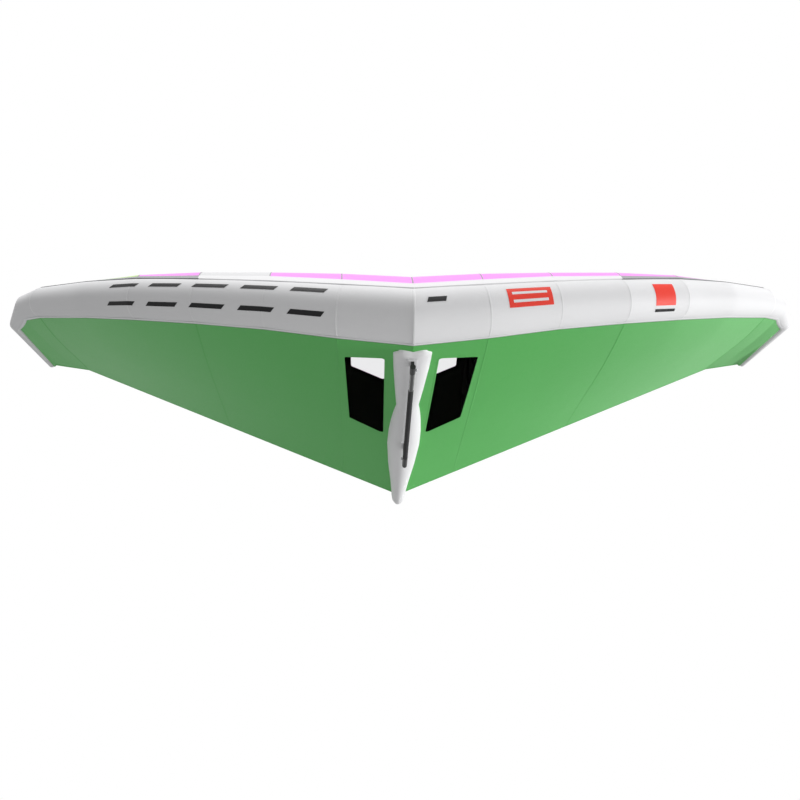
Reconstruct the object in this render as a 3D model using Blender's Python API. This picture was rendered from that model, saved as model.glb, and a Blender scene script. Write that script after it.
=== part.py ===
"""Inflatable double-skin hand wing for foil boards, in metres, +Z up, nose towards -Y.

A round leading-edge tube and a central strut are pumped up and carry an upper and a lower skin.
The rider holds the straight boom under the strut.
Run with: blender --background --python part.py
"""
import math

import bmesh
import bpy
import numpy as np
from mathutils import Matrix, Vector

# Leading-edge tube: sizes at the middle, and how far its end lies out, back and up
HALF_SPAN = 1.925
TUBE_RADIUS = 0.130
TIP_SWEEP = 1.635
TIP_RISE = 0.470
TUBE_SIDES = 24

# Stations along the tube, from the middle to the tip end
STATION_X_SHARES = (0.0, 0.157, 0.316, 0.475, 0.620, 0.754, 0.897, 0.948, 0.9905, 0.9605)
STATION_SWEEP_SHARES = (0.0, 0.021, 0.055, 0.106, 0.182, 0.289, 0.467, 0.537, 0.625, 1.0)
STATION_RISE_SHARES = (0.0, 0.089, 0.204, 0.326, 0.470, 0.636, 0.891, 0.948, 0.900, 0.975)
STATION_RADIUS_SHARES = (1.0, 0.943, 0.853, 0.793, 0.739, 0.645, 0.558, 0.488, 0.247, 0.118)

# Trailing edge: straight from the middle to a corner, then straight to the tube's end
ROOT_LENGTH = 2.169
ROOT_EDGE_DROP = 0.104
CORNER_X = 1.659
CORNER_SWEEP = 1.680
CORNER_RISE = 0.446
EDGE_END_X = 1.846
EDGE_END_SWEEP = 1.647
EDGE_END_RISE = 0.463
EDGE_X_SHARES = (0.0, 0.157, 0.316, 0.475, 0.615, 0.738, 0.862, 0.905, 0.935, 0.950)

# Skin sections: where each skin leaves the tube, and how full the upper one is
SEAM_ANGLES = (46, 46, 47, 48, 52, 62, 74, 80, 84, 86)
BORDER_ANGLES = (90, 90, 90, 90, 90, 90, 91, 92, 128, 140)
FULLNESS_SHARES = (0.35, 0.35, 0.33, 0.31, 0.285, 0.22, 0.16, 0.14, 0.20, 0.60)
TAIL_SHARE = 0.42
TAIL_TURN_DEG = 3.4
FLAT_SHARE = 0.33

# Cloth, film and the clearances between sewn pieces
SKIN = 0.0005
SLEEVE_WALL = 0.0008
BLADDER_WALL = 0.0004
SEAM_GAP = 0.0003
SEAM_STANDOFF = 0.0026
STRUT_GAP = 0.0015
BLADDER_GAP = 0.0006
BLADDER_TIP_GAP = 0.0030
RIB_WALL = 0.0006
CUT_OVERRUN = 0.010

# Strut: rows run from its front lip to its tail, as shares of the sizes below
STRUT_FRONT = 0.050
TAIL_OVERHANG = 0.071
STRUT_HALF_WIDTH = 0.0835
STRUT_HEIGHT = 0.070
STRUT_DEPTH = 0.076
STRUT_DROP = 0.015
STRUT_SIDES = 20
STRUT_Y_SHARES = (0.0, 0.007, 0.012, 0.041, 0.091, 0.206, 0.305, 0.329, 0.361, 0.411,
                  0.479, 0.571, 0.708, 0.845, 0.913, 0.954, 0.968, 0.980, 0.993, 1.0)
STRUT_WIDTH_SHARES = (0.74, 0.97, 1.0, 0.98, 0.935, 0.775, 0.62, 0.69, 0.77, 0.86,
                      0.94, 0.965, 0.825, 0.597, 0.50, 0.45, 0.43, 0.40, 0.31, 0.13)
STRUT_HEIGHT_SHARES = (0.02, 0.04, 0.13, 0.64, 0.86, 0.74, 0.57, 0.71, 0.86, 0.96,
                       1.0, 0.94, 0.71, 0.29, 0.07, 0.04, 0.03, 0.09, 0.10, 0.06)
STRUT_DEPTH_SHARES = (0.14, 0.28, 0.36, 0.51, 0.61, 0.59, 0.45, 0.58, 0.70, 0.84,
                      0.94, 1.0, 0.98, 0.88, 0.78, 0.60, 0.57, 0.52, 0.43, 0.26)
STRUT_DROP_SHARES = (0.2, 0, 0, 0, 0, 0, 0, 0, 0, 0, 0, 0, 0, 0, 0.2, 0.9, 0.93, 1.0, 1.0, 1.0)
TAIL_ROW = 15
BLADDER_FIRST_ROW = 3

# Windows beside the strut: corners as shares of the inner bay's width and of the wing's length
LOWER_WINDOW_X_SHARES = (0.39, 0.963, 0.893, 0.34)
LOWER_WINDOW_Y_SHARES = (0.082, 0.105, 0.480, 0.533)
UPPER_WINDOW_X_SHARES = (0.34, 0.90, 0.865, 0.30)
UPPER_WINDOW_Y_SHARES = (0.100, 0.118, 0.510, 0.543)
WINDOW_CORNER_RADIUS = 0.014
CORNER_STEPS = 3
PANE_GAP = 0.0004

# Ribs between the skins
RIB_CLEARANCE = 0.010
RIB_ARC_POINTS = 9
RIB_STRUT_CLEARANCE = 0.008
RIB_ARC_FROM_DEG = -48
MIDDLE_ARC_FROM_DEG = -15
RIB_ARC_TO_DEG = 76
RIB_END_SHARE = 0.93
RIB_HOLE_SHARES = (0.28, 0.46, 0.64)
RIB_HOLE_RADIUS_SHARE = 0.27
RIB_HOLE_SIDES = 16

# Boom: its front end under the strut, its length and its slope
BOOM_FRONT = 0.100
BOOM_FRONT_DROP = 0.055
BOOM_LENGTH = 1.108
BOOM_FALL = 0.075
BOOM_RADIUS = 0.0105
BOOM_WALL = 0.0015
BOOM_SIDES = 20
BOOM_FIT = 0.0003
GRIP_WALL = 0.0012
GRIP_FROM = 0.240
GRIP_END_GAP = 0.010

# Boom mounts: sockets on webs that stand on pads under the strut
SOCKET_WALL = 0.0016
FRONT_SOCKET_LENGTH = 0.060
REAR_SOCKET_LENGTH = 0.110
SOCKET_END = 0.004
WEB_WIDTH = 0.014
WEB_FOOT = 0.003
PAD_WIDTH = 0.046
PAD_MARGIN = 0.012
PAD_THICKNESS = 0.0022
PLUG_REACH = 0.050
PLUG_HEAD = 0.012
PLUG_FLANGE = 0.0010
PLUG_TIP_SHARE = 0.7

# Release pins across the sockets
PIN_RADIUS = 0.0030
PIN_FIT = 0.0003
PIN_POINT = 0.0020
PIN_POINT_SHARE = 0.6
KNOB_RADIUS = 0.0065
KNOB_LENGTH = 0.006
KNOB_ROUND_SHARE = 0.8
KNOB_STANDOFF = 0.0006
PIN_FROM_END = 0.030
REAR_PIN_FROM_END = 0.096

# Inflation valve on top of the tube, between the second and third stations
VALVE_STATION = 1
VALVE_PLACE_SHARE = 0.45
VALVE_ANGLE_DEG = 97.5
VALVE_NECK_RADIUS = 0.0155
VALVE_BORE_RADIUS = 0.0120
VALVE_SEAT_RADIUS = 0.0085
VALVE_INSIDE = 0.010
VALVE_OUTSIDE = 0.016
VALVE_FLANGE_RADIUS = 0.024
VALVE_FLANGE = 0.002
VALVE_SEAT = 0.002
VALVE_HOLE_GAP = 0.0005
CHECK_RADIUS = 0.0110
CHECK_THICKNESS = 0.002
CHECK_STEM_RADIUS = 0.0025
CAP_WALL = 0.002
CAP_SKIRT = 0.004
CAP_GAP = 0.0004
HINGE_RADIUS = 0.003
HINGE_LENGTH = 0.012
HINGE_BORE_RADIUS = 0.0013
EAR_SHARE = 0.7
VALVE_SIDES = 24

# Hose between the two bladders
HOSE_RADIUS = 0.006
HOSE_X = 0.050
HOSE_PORT_RADIUS = 0.004
HOSE_BEND = 0.072
HOSE_LAND = 0.240

# Zip over the valve, on the upper skin
ZIP_STATION = 1
ZIP_FROM_SHARE = 0.20
ZIP_TO_SHARE = 0.75
ZIP_CHORD_SHARE = 0.19
ZIP_WIDTH_SHARE = 0.014
ZIP_TAPE = 0.0008
SLIT_HALF_WIDTH = 0.004
SLIDER_LENGTH = 0.012
SLIDER_WIDTH = 0.009
SLIDER_HEIGHT = 0.005
PULL_LENGTH = 0.030
PULL_WIDTH = 0.006
PULL_THICKNESS = 0.0015

# Grid steps of the skins
CHORD_STEPS = 14
LOWER_STEPS = 5
LOWER_INNER_SHARES = (0.0, 0.15, 0.4, 0.7, 1.0)
SHARP_DEG = 35

# The box's middle is over the origin and its lowest point is on the ground
STRUT_END = ROOT_LENGTH + TAIL_OVERHANG
STRUT_LENGTH = STRUT_END - STRUT_FRONT
MIDDLE_Y = (STRUT_END - TUBE_RADIUS) / 2
BOOM_ANGLE = math.asin(BOOM_FALL / BOOM_LENGTH)
SOCKET_RADIUS = BOOM_RADIUS + BOOM_FIT + SOCKET_WALL
CENTRE_HEIGHT = (TUBE_RADIUS + BOOM_FRONT_DROP + (BOOM_LENGTH - PLUG_HEAD) * math.sin(BOOM_ANGLE)
                 + SOCKET_RADIUS * math.cos(BOOM_ANGLE))
OFFSET = np.array([0.0, -MIDDLE_Y, CENTRE_HEIGHT])

WHITE = (0.86, 0.86, 0.87)
GREEN = (0.115, 0.45, 0.13)
PINK = (1.0, 0.38, 1.0)
LIME = (0.52, 0.76, 0.19)
DARK = (0.03, 0.03, 0.035)
GREY = (0.18, 0.18, 0.19)
FILM = (0.62, 0.62, 0.60)
BLACK = (0.006, 0.006, 0.007)


def clear_scene():
    for thing in list(bpy.data.objects):
        bpy.data.objects.remove(thing)


def make_material(name, colour, roughness, metallic=0.0):
    material = bpy.data.materials.new(name)
    material.use_nodes = True
    shader = material.node_tree.nodes["Principled BSDF"]
    shader.inputs["Base Color"].default_value = (*colour, 1.0)
    shader.inputs["Roughness"].default_value = roughness
    shader.inputs["Metallic"].default_value = metallic
    return material


def make_object(name, points, faces, colour, roughness=0.6, metallic=0.0, place=OFFSET):
    """One named object from points in the wing's own frame, smooth but for its sharp edges."""
    mesh = bpy.data.meshes.new(name)
    moved = np.asarray(points, dtype=float) + place
    mesh.from_pydata([tuple(point) for point in moved], [], [tuple(face) for face in faces])
    mesh.shade_smooth()
    mesh.set_sharp_from_angle(angle=math.radians(SHARP_DEG))
    thing = bpy.data.objects.new(name, mesh)
    bpy.context.collection.objects.link(thing)
    mesh.materials.append(make_material(name, colour, roughness, metallic))
    return thing


def add_boolean(thing, cutter, operation="DIFFERENCE"):
    """Cut or join with a guide object, which stays out of the build."""
    cutter.hide_render = True
    cutter.display_type = "WIRE"
    modifier = thing.modifiers.new(cutter.name, "BOOLEAN")
    modifier.operation = operation
    modifier.solver = "EXACT"
    modifier.object = cutter


def add_thickness(thing, thickness):
    modifier = thing.modifiers.new("cloth", "SOLIDIFY")
    modifier.thickness = thickness
    modifier.offset = -1.0
    modifier.use_even_offset = False
    modifier.use_rim = True


def unit(vector):
    return np.asarray(vector, dtype=float) / np.linalg.norm(vector)


def mirror(points, side):
    """The right-hand points, or their mirror image for side -1."""
    return np.asarray(points, dtype=float) * np.array([side, 1.0, 1.0])


# Geometry of the wing

def station_centre(index):
    return np.array([HALF_SPAN * STATION_X_SHARES[index],
                     TIP_SWEEP * STATION_SWEEP_SHARES[index],
                     TIP_RISE * STATION_RISE_SHARES[index]])


def station_radius(index):
    return TUBE_RADIUS * STATION_RADIUS_SHARES[index]


def station_axes(index):
    """Unit vectors of a station's ring: forwards across the tube, and upwards across it."""
    if index == 0:
        return np.array([0.0, -1.0, 0.0]), np.array([0.0, 0.0, 1.0])
    last = len(STATION_X_SHARES) - 1
    before = unit(station_centre(index) - station_centre(index - 1))
    after = unit(station_centre(min(index + 1, last)) - station_centre(index)) if index < last else before
    along = unit(before + after)
    front = unit(np.array([along[1], -along[0], 0.0]))
    return front, unit(np.cross(front, along))


def tube_point(index, angle_deg, radius):
    """A point of the ring at an angle from the front, positive towards the top."""
    front, top = station_axes(index)
    angle = math.radians(angle_deg)
    return station_centre(index) + radius * (math.cos(angle) * front + math.sin(angle) * top)


def tube_ring(index, radius):
    angles = np.arange(TUBE_SIDES) * 360 / TUBE_SIDES
    return np.array([tube_point(index, angle, radius) for angle in angles])


def trailing_point(x):
    """The trailing edge at a distance from the centre line."""
    root = np.array([0.0, ROOT_LENGTH, -ROOT_EDGE_DROP])
    corner = np.array([CORNER_X, CORNER_SWEEP, CORNER_RISE])
    end = np.array([EDGE_END_X, EDGE_END_SWEEP, EDGE_END_RISE])
    if x <= CORNER_X:
        return root + (corner - root) * x / CORNER_X
    return corner + (end - corner) * (x - CORNER_X) / (EDGE_END_X - CORNER_X)


def bezier(first, second, third, fourth, shares):
    t = np.asarray(shares, dtype=float)[:, None]
    return ((1 - t) ** 3 * first + 3 * (1 - t) ** 2 * t * second
            + 3 * (1 - t) * t ** 2 * third + t ** 3 * fourth)


def section_axis(index, start):
    """The level direction from a seam point to the trailing edge, and the length that way."""
    reach = trailing_point(HALF_SPAN * EDGE_X_SHARES[index]) - start
    level = np.array([reach[0], reach[1], 0.0])
    return unit(level), float(np.linalg.norm(level))


def upper_line(index, shares):
    """The upper skin's outside at a station: it leaves the tube along its surface and ends flat."""
    angle = SEAM_ANGLES[index]
    start = tube_point(index, angle, station_radius(index) + SKIN + SEAM_STANDOFF)
    end = trailing_point(HALF_SPAN * EDGE_X_SHARES[index]) + np.array([0.0, 0.0, SKIN + SEAM_GAP / 2])
    back, length = section_axis(index, start)
    lift = math.radians(angle)
    rising = math.sin(lift) * back + math.cos(lift) * np.array([0.0, 0.0, 1.0])
    slope = math.atan2(end[2] - start[2], length) - math.radians(TAIL_TURN_DEG)
    falling = math.cos(slope) * back + math.sin(slope) * np.array([0.0, 0.0, 1.0])
    second = start + FULLNESS_SHARES[index] * length * rising
    third = end - TAIL_SHARE * length * falling
    return bezier(start, second, third, end, shares)


def lower_line(index, shares):
    """The lower skin's outside at a station: level behind the tube, then straight to the edge."""
    start = tube_point(index, -BORDER_ANGLES[index], station_radius(index) + SKIN + SEAM_STANDOFF)
    end = trailing_point(HALF_SPAN * EDGE_X_SHARES[index]) - np.array([0.0, 0.0, SKIN + SEAM_GAP / 2])
    back, length = section_axis(index, start)
    second = start + FLAT_SHARE * length * back
    third = end - FLAT_SHARE * (end - start)
    return bezier(start, second, third, end, shares)


def lower_height(x, y):
    """Height of the lower skin's outside near the strut, between the first two stations."""
    shares = np.linspace(0.0, 1.0, CHORD_STEPS * 4)
    middle = lower_line(0, shares)
    outer = lower_line(1, shares)
    share = x / station_centre(1)[0]
    return float((1 - share) * np.interp(y, middle[:, 1], middle[:, 2])
                 + share * np.interp(y, outer[:, 1], outer[:, 2]))


def trim_edge(edge, neighbour):
    """Draw a panel's edge back from its seam line by half the seam gap, towards its neighbour row."""
    step = neighbour - edge
    length = np.linalg.norm(step, axis=1, keepdims=True)
    return edge + step / length * SEAM_GAP / 2


def panel_rows(line, stations, shares, side):
    """Rows of a skin panel across its stations, both side edges trimmed."""
    rows = [line(index, shares) for index in stations]
    first = trim_edge(rows[0], rows[1])
    last = trim_edge(rows[-1], rows[-2])
    return [mirror(row, side) for row in [first] + rows[1:-1] + [last]]


def sheet(name, rows, upwards, side, colour, thickness=SKIN, roughness=0.55):
    """A cloth panel from a grid of its outside points, given thickness inwards."""
    grid = np.array(rows)
    count_across, count_along = grid.shape[:2]
    faces = []
    for row in range(count_across - 1):
        for column in range(count_along - 1):
            corner = row * count_along + column
            beyond = corner + count_along
            for face in ([corner, beyond, beyond + 1], [corner, beyond + 1, corner + 1]):
                faces.append(face if upwards == (side > 0) else face[::-1])
    thing = make_object(name, grid.reshape(-1, 3), faces, colour, roughness)
    add_thickness(thing, thickness)
    return thing


def bridge(first, second, count, faces):
    """Triangles between two rings of equal count that start at these vertex numbers."""
    for step in range(count):
        following = (step + 1) % count
        faces.append([first + step, first + following, second + following])
        faces.append([first + step, second + following, second + step])


def wall_between(name, outer, inner, colour, close_end, side=1, roughness=0.55):
    """A hollow run of rings with an open front, and an open or a closed end."""
    count = len(outer[0])
    points = np.concatenate([mirror(ring, side) for ring in outer + inner])
    faces = []
    total = len(outer)
    for row in range(total - 1):
        bridge(row * count, (row + 1) * count, count, faces)
    base = total * count
    for row in range(total - 1):
        start = len(faces)
        bridge(base + row * count, base + (row + 1) * count, count, faces)
        faces[start:] = [face[::-1] for face in faces[start:]]
    start = len(faces)
    bridge(0, base, count, faces)
    faces[start:] = [face[::-1] for face in faces[start:]]
    outer_end = (total - 1) * count
    inner_end = base + outer_end
    if close_end:
        faces.append(list(range(outer_end, outer_end + count)))
        faces.append(list(range(inner_end, inner_end + count))[::-1])
    else:
        bridge(outer_end, inner_end, count, faces)
    thing = make_object(name, points, faces, colour, roughness)
    face_outwards(thing)
    return thing


def nested_shell(name, outer, inner, colour):
    """A closed bag: an outer skin and an inner one, both closed. A port cut opens it."""
    count = len(outer[0])
    points = np.concatenate(outer + inner)
    faces = []
    for start in (0, len(outer) * count):
        for row in range(len(outer) - 1):
            bridge(start + row * count, start + (row + 1) * count, count, faces)
        faces.append(list(range(start, start + count))[::-1])
        last = start + (len(outer) - 1) * count
        faces.append(list(range(last, last + count)))
    half = len(faces) // 2
    faces[half:] = [face[::-1] for face in faces[half:]]
    thing = make_object(name, points, faces, colour, 0.3)
    if enclosed_volume(thing) < 0:
        thing.data.flip_normals()
    return thing


def enclosed_volume(thing):
    shape = bmesh.new()
    shape.from_mesh(thing.data)
    volume = shape.calc_volume(signed=True)
    shape.free()
    return volume


def face_outwards(thing):
    """Turn a mesh's faces outwards."""
    shape = bmesh.new()
    shape.from_mesh(thing.data)
    bmesh.ops.recalc_face_normals(shape, faces=shape.faces)
    shape.to_mesh(thing.data)
    shape.free()


def prism(name, outline, low, high, colour=GREY, side=1, place=OFFSET):
    """An upright block with a flat outline, its faces outwards."""
    count = len(outline)
    points = [(x, y, level) for level in (low, high) for x, y in outline]
    faces = [list(range(count))[::-1], list(range(count, 2 * count))]
    bridge(0, count, count, faces)
    thing = make_object(name, mirror(points, side), faces, colour, place=place)
    face_outwards(thing)
    return thing


def turned(name, profile, sides, frame, colour, roughness=0.5, metallic=0.0):
    """A turned piece: a closed profile of (radius, height) pairs about the frame's Z axis."""
    shape = bmesh.new()
    rim = [shape.verts.new((radius, 0.0, height)) for radius, height in profile]
    edges = [shape.edges.new((rim[step], rim[(step + 1) % len(rim)])) for step in range(len(rim))]
    bmesh.ops.spin(shape, geom=rim + edges, cent=(0, 0, 0), axis=(0, 0, 1),
                   angle=2 * math.pi, steps=sides, use_merge=True)
    bmesh.ops.remove_doubles(shape, verts=shape.verts, dist=SEAM_GAP / 10)
    bmesh.ops.dissolve_degenerate(shape, edges=shape.edges, dist=SEAM_GAP / 10)
    loose = [edge for edge in shape.edges if not edge.link_faces]
    bmesh.ops.delete(shape, geom=loose, context="EDGES")
    bmesh.ops.recalc_face_normals(shape, faces=shape.faces)
    mesh = bpy.data.meshes.new(name)
    shape.to_mesh(mesh)
    shape.free()
    mesh.shade_smooth()
    mesh.set_sharp_from_angle(angle=math.radians(SHARP_DEG))
    mesh.materials.append(make_material(name, colour, roughness, metallic))
    thing = bpy.data.objects.new(name, mesh)
    thing.matrix_world = frame
    bpy.context.collection.objects.link(thing)
    return thing


def rod(name, radius, low, high, sides, frame, colour=GREY, roughness=0.5, metallic=0.0):
    profile = [(0.0, low), (radius, low), (radius, high), (0.0, high)]
    return turned(name, profile, sides, frame, colour, roughness, metallic)


def frame_at(origin, z_axis, x_hint):
    """A placing matrix with its Z along one direction and its X near another."""
    z = unit(z_axis)
    x = unit(np.asarray(x_hint, dtype=float) - np.dot(x_hint, z) * z)
    y = np.cross(z, x)
    where = np.asarray(origin, dtype=float) + OFFSET
    return Matrix([[x[row], y[row], z[row], where[row]] for row in range(3)] + [[0, 0, 0, 1]])


# Leading edge

def shifted_rings(stations, radius_of):
    """Rings of a tube run, its two end rings drawn in by half the seam gap."""
    rings = [tube_ring(index, radius_of(index)) for index in stations]
    first = trim_edge(rings[0], rings[1])
    last = trim_edge(rings[-1], rings[-2])
    return [first] + rings[1:-1] + [last]


def make_leading_edge(side, word):
    """Sewn sleeve panels, each a run of the tube. The outermost is closed at the tip."""
    runs = (("inner", (0, 1)), ("second", (1, 2)), ("third", (2, 3)), ("fourth", (3, 4)),
            ("outer", (4, 5, 6)), ("tip", (6, 7, 8, 9)))
    made = {}
    for label, stations in runs:
        outer = shifted_rings(stations, station_radius)
        inner = shifted_rings(stations, lambda index: station_radius(index) - SLEEVE_WALL)
        if label == "tip":
            inner[-1] = inner[-1] + (inner[-2] - inner[-1]) * SLEEVE_WALL / np.linalg.norm(
                station_centre(9) - station_centre(8))
        made[label] = wall_between(f"leading_edge_{label}_{word}", outer, inner, WHITE,
                                   close_end=label == "tip", side=side)
    return made


def bladder_radius(index):
    """The bag lies close to the sleeve, but is cut slimmer where the tip turns and narrows."""
    gap = BLADDER_GAP if index < 7 else BLADDER_TIP_GAP
    return station_radius(index) - SLEEVE_WALL - gap


def make_leading_edge_bladder():
    """One long bag that runs inside the sleeve from tip to tip."""
    last = len(STATION_X_SHARES) - 2
    right = list(range(last + 1))
    outer = [tube_ring(index, bladder_radius(index)) for index in right]
    inner = [tube_ring(index, bladder_radius(index) - BLADDER_WALL) for index in right]
    outer = [mirror(ring, -1) for ring in outer[:0:-1]] + outer
    inner = [mirror(ring, -1) for ring in inner[:0:-1]] + inner
    for end, nearer in ((0, 1), (-1, -2)):
        step = np.mean(inner[nearer], axis=0) - np.mean(inner[end], axis=0)
        inner[end] = inner[end] + unit(step) * BLADDER_WALL
    return nested_shell("leading_edge_bladder", outer, inner, FILM)


# Strut

def strut_row(row, shrink=0.0):
    """Half width, height over and depth under its widest level, that level, and the place back."""
    y = STRUT_FRONT + STRUT_LENGTH * STRUT_Y_SHARES[row]
    width = STRUT_HALF_WIDTH * STRUT_WIDTH_SHARES[row]
    level = lower_height(width, min(y, ROOT_LENGTH)) - STRUT_DROP * STRUT_DROP_SHARES[row]
    height = STRUT_HEIGHT * STRUT_HEIGHT_SHARES[row]
    depth = STRUT_DEPTH * STRUT_DEPTH_SHARES[row]
    return y, width - shrink, height - shrink, depth - shrink, level


def strut_ring(row, shrink=0.0, back=0.0):
    y, width, height, depth, level = strut_row(row, shrink)
    ring = []
    for step in range(STRUT_SIDES):
        angle = 2 * math.pi * step / STRUT_SIDES
        reach = height if math.sin(angle) > 0 else depth
        ring.append((width * math.cos(angle), y + back, level + reach * math.sin(angle)))
    return np.array(ring)


def strut_bottom(y):
    """Height of the strut's underside on the centre line."""
    rows = [strut_row(row) for row in range(len(STRUT_Y_SHARES))]
    return float(np.interp(y, [row[0] for row in rows], [row[4] - row[3] for row in rows]))


def strut_top(y):
    rows = [strut_row(row) for row in range(len(STRUT_Y_SHARES))]
    return float(np.interp(y, [row[0] for row in rows], [row[4] + row[2] for row in rows]))


def make_strut():
    """The strut's sleeve, open at its front lip, and the patch that closes its tail."""
    body = range(TAIL_ROW + 1)
    outer = [strut_ring(row) for row in body]
    inner = [strut_ring(row, SLEEVE_WALL) for row in body]
    outer[-1] = strut_ring(TAIL_ROW, 0.0, -SEAM_GAP / 2)
    inner[-1] = strut_ring(TAIL_ROW, SLEEVE_WALL, -SEAM_GAP / 2)
    sleeve = wall_between("strut_sleeve", outer, inner, WHITE, close_end=False)
    tail = range(TAIL_ROW, len(STRUT_Y_SHARES))
    outer = [strut_ring(row) for row in tail]
    inner = [strut_ring(row, SLEEVE_WALL) for row in tail]
    outer[0] = strut_ring(TAIL_ROW, 0.0, SEAM_GAP / 2)
    inner[0] = strut_ring(TAIL_ROW, SLEEVE_WALL, SEAM_GAP / 2)
    inner[-1] = strut_ring(len(STRUT_Y_SHARES) - 1, SLEEVE_WALL, -SLEEVE_WALL)
    wall_between("strut_tail_patch", outer, inner, WHITE, close_end=True)
    return sleeve


def make_strut_bladder():
    rows = range(BLADDER_FIRST_ROW, TAIL_ROW)
    clear = SLEEVE_WALL + BLADDER_GAP
    outer = [strut_ring(row, clear) for row in rows]
    inner = [strut_ring(row, clear + BLADDER_WALL) for row in rows]
    inner[0] = strut_ring(BLADDER_FIRST_ROW, clear + BLADDER_WALL, BLADDER_WALL)
    inner[-1] = strut_ring(TAIL_ROW - 1, clear + BLADDER_WALL, -BLADDER_WALL)
    return nested_shell("strut_bladder", outer, inner, FILM)


# Skins

def make_upper_skin(side, word):
    shares = np.linspace(0.0, 1.0, CHORD_STEPS + 1) ** 1.35
    third_colour = WHITE if side < 0 else PINK
    tip_colour = LIME if side < 0 else PINK
    runs = (("inner", (0, 1), PINK), ("second", (1, 2), PINK), ("third", (2, 3), third_colour),
            ("fourth", (3, 4), PINK), ("tip", (4, 5, 6, 7, 8, 9), tip_colour))
    made = {}
    for label, stations, colour in runs:
        rows = panel_rows(upper_line, stations, shares, side)
        made[label] = sheet(f"upper_skin_{label}_{word}", rows, True, side, colour)
    return made


def inner_lower_rows(side):
    """The lower panel beside the strut follows the strut's outline on its inner edge."""
    rows = [strut_row(row) for row in range(TAIL_ROW + 2)]
    start = lower_line(0, [0.0])[0][1]
    front = STRUT_FRONT - STRUT_GAP * 2
    inner = [(SEAM_GAP / 2, y) for y in (start, (start + front) / 2, front)]
    inner.append((rows[0][1] + STRUT_GAP, front + STRUT_GAP))
    inner += [(row[1] + STRUT_GAP, row[0]) for row in rows]
    inner.append((rows[-1][1] + STRUT_GAP, ROOT_LENGTH))
    shares = np.linspace(0.0, 1.0, CHORD_STEPS * 4)
    middle = lower_line(0, shares)
    outer = lower_line(1, shares)
    lip_share = float(np.interp(STRUT_FRONT, outer[:, 1], shares))
    along_edge = []
    along_seam = []
    for x, y in inner:
        run = middle + (outer - middle) * x / outer[0][0]
        y = min(y, run[-1][1])
        if along_edge and y - along_edge[-1][1] < SEAM_GAP:
            continue
        if y < STRUT_FRONT:
            share = lip_share * (y - start) / (STRUT_FRONT - start)
        else:
            share = float(np.interp(y, run[:, 1], shares))
        along_edge.append((x, y, lower_height(x, y)))
        along_seam.append(lower_line(1, [share])[0])
    along_edge = np.array(along_edge)
    along_seam = trim_edge(np.array(along_seam), along_edge)
    between = [along_edge + (along_seam - along_edge) * share for share in LOWER_INNER_SHARES]
    return [mirror(row, side) for row in between]


def make_lower_skin(side, word):
    shares = np.linspace(0.0, 1.0, LOWER_STEPS + 1)
    made = {"inner": sheet(f"lower_skin_inner_{word}", inner_lower_rows(side), False, side, GREEN)}
    for label, stations in (("middle", (1, 2, 3)), ("outer", (3, 4, 5, 6)), ("tip", (6, 7, 8, 9))):
        rows = panel_rows(lower_line, stations, shares, side)
        made[label] = sheet(f"lower_skin_{label}_{word}", rows, False, side, GREEN)
    return made


# Windows

def window_outline(x_shares, y_shares, inset):
    """A window's outline, drawn in by an inset, its corners rounded."""
    bay = station_centre(1)[0]
    corners = [Vector((bay * across, ROOT_LENGTH * back)) for across, back in zip(x_shares, y_shares)]
    radius = WINDOW_CORNER_RADIUS - inset
    outline = []
    for step, corner in enumerate(corners):
        before = (corners[step - 1] - corner).normalized()
        after = (corners[(step + 1) % 4] - corner).normalized()
        half = before.angle(after) / 2
        middle = corner + (before + after).normalized() * (WINDOW_CORNER_RADIUS / math.sin(half))
        sweep = math.pi - 2 * half
        start = (corner + before * (WINDOW_CORNER_RADIUS / math.tan(half)) - middle).normalized()
        turn = 1 if before.x * after.y - before.y * after.x < 0 else -1
        for part in range(CORNER_STEPS + 1):
            angle = turn * sweep * part / CORNER_STEPS
            spoke = Matrix.Rotation(angle, 2) @ start
            outline.append(tuple(middle + spoke * radius))
    return outline


def make_windows(side, word, upper, lower):
    """An opening and a clear pane in each skin, cut from the panel's own surface."""
    top = TUBE_RADIUS * 4
    for label, panel, x_shares, y_shares in (
            ("upper", upper, UPPER_WINDOW_X_SHARES, UPPER_WINDOW_Y_SHARES),
            ("lower", lower, LOWER_WINDOW_X_SHARES, LOWER_WINDOW_Y_SHARES)):
        opening = prism(f"opening_{label}_{word}", window_outline(x_shares, y_shares, 0.0), -top, top, side=side)
        form = prism(f"pane_form_{label}_{word}", window_outline(x_shares, y_shares, PANE_GAP), -top, top,
                     side=side)
        pane = panel.copy()
        pane.data = panel.data.copy()
        pane.name = f"window_{label}_{word}"
        pane.data.materials.clear()
        pane.data.materials.append(make_material(pane.name, BLACK, 0.08))
        bpy.context.collection.objects.link(pane)
        add_boolean(pane, form, "INTERSECT")
        add_boolean(panel, opening)


# Ribs

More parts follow.
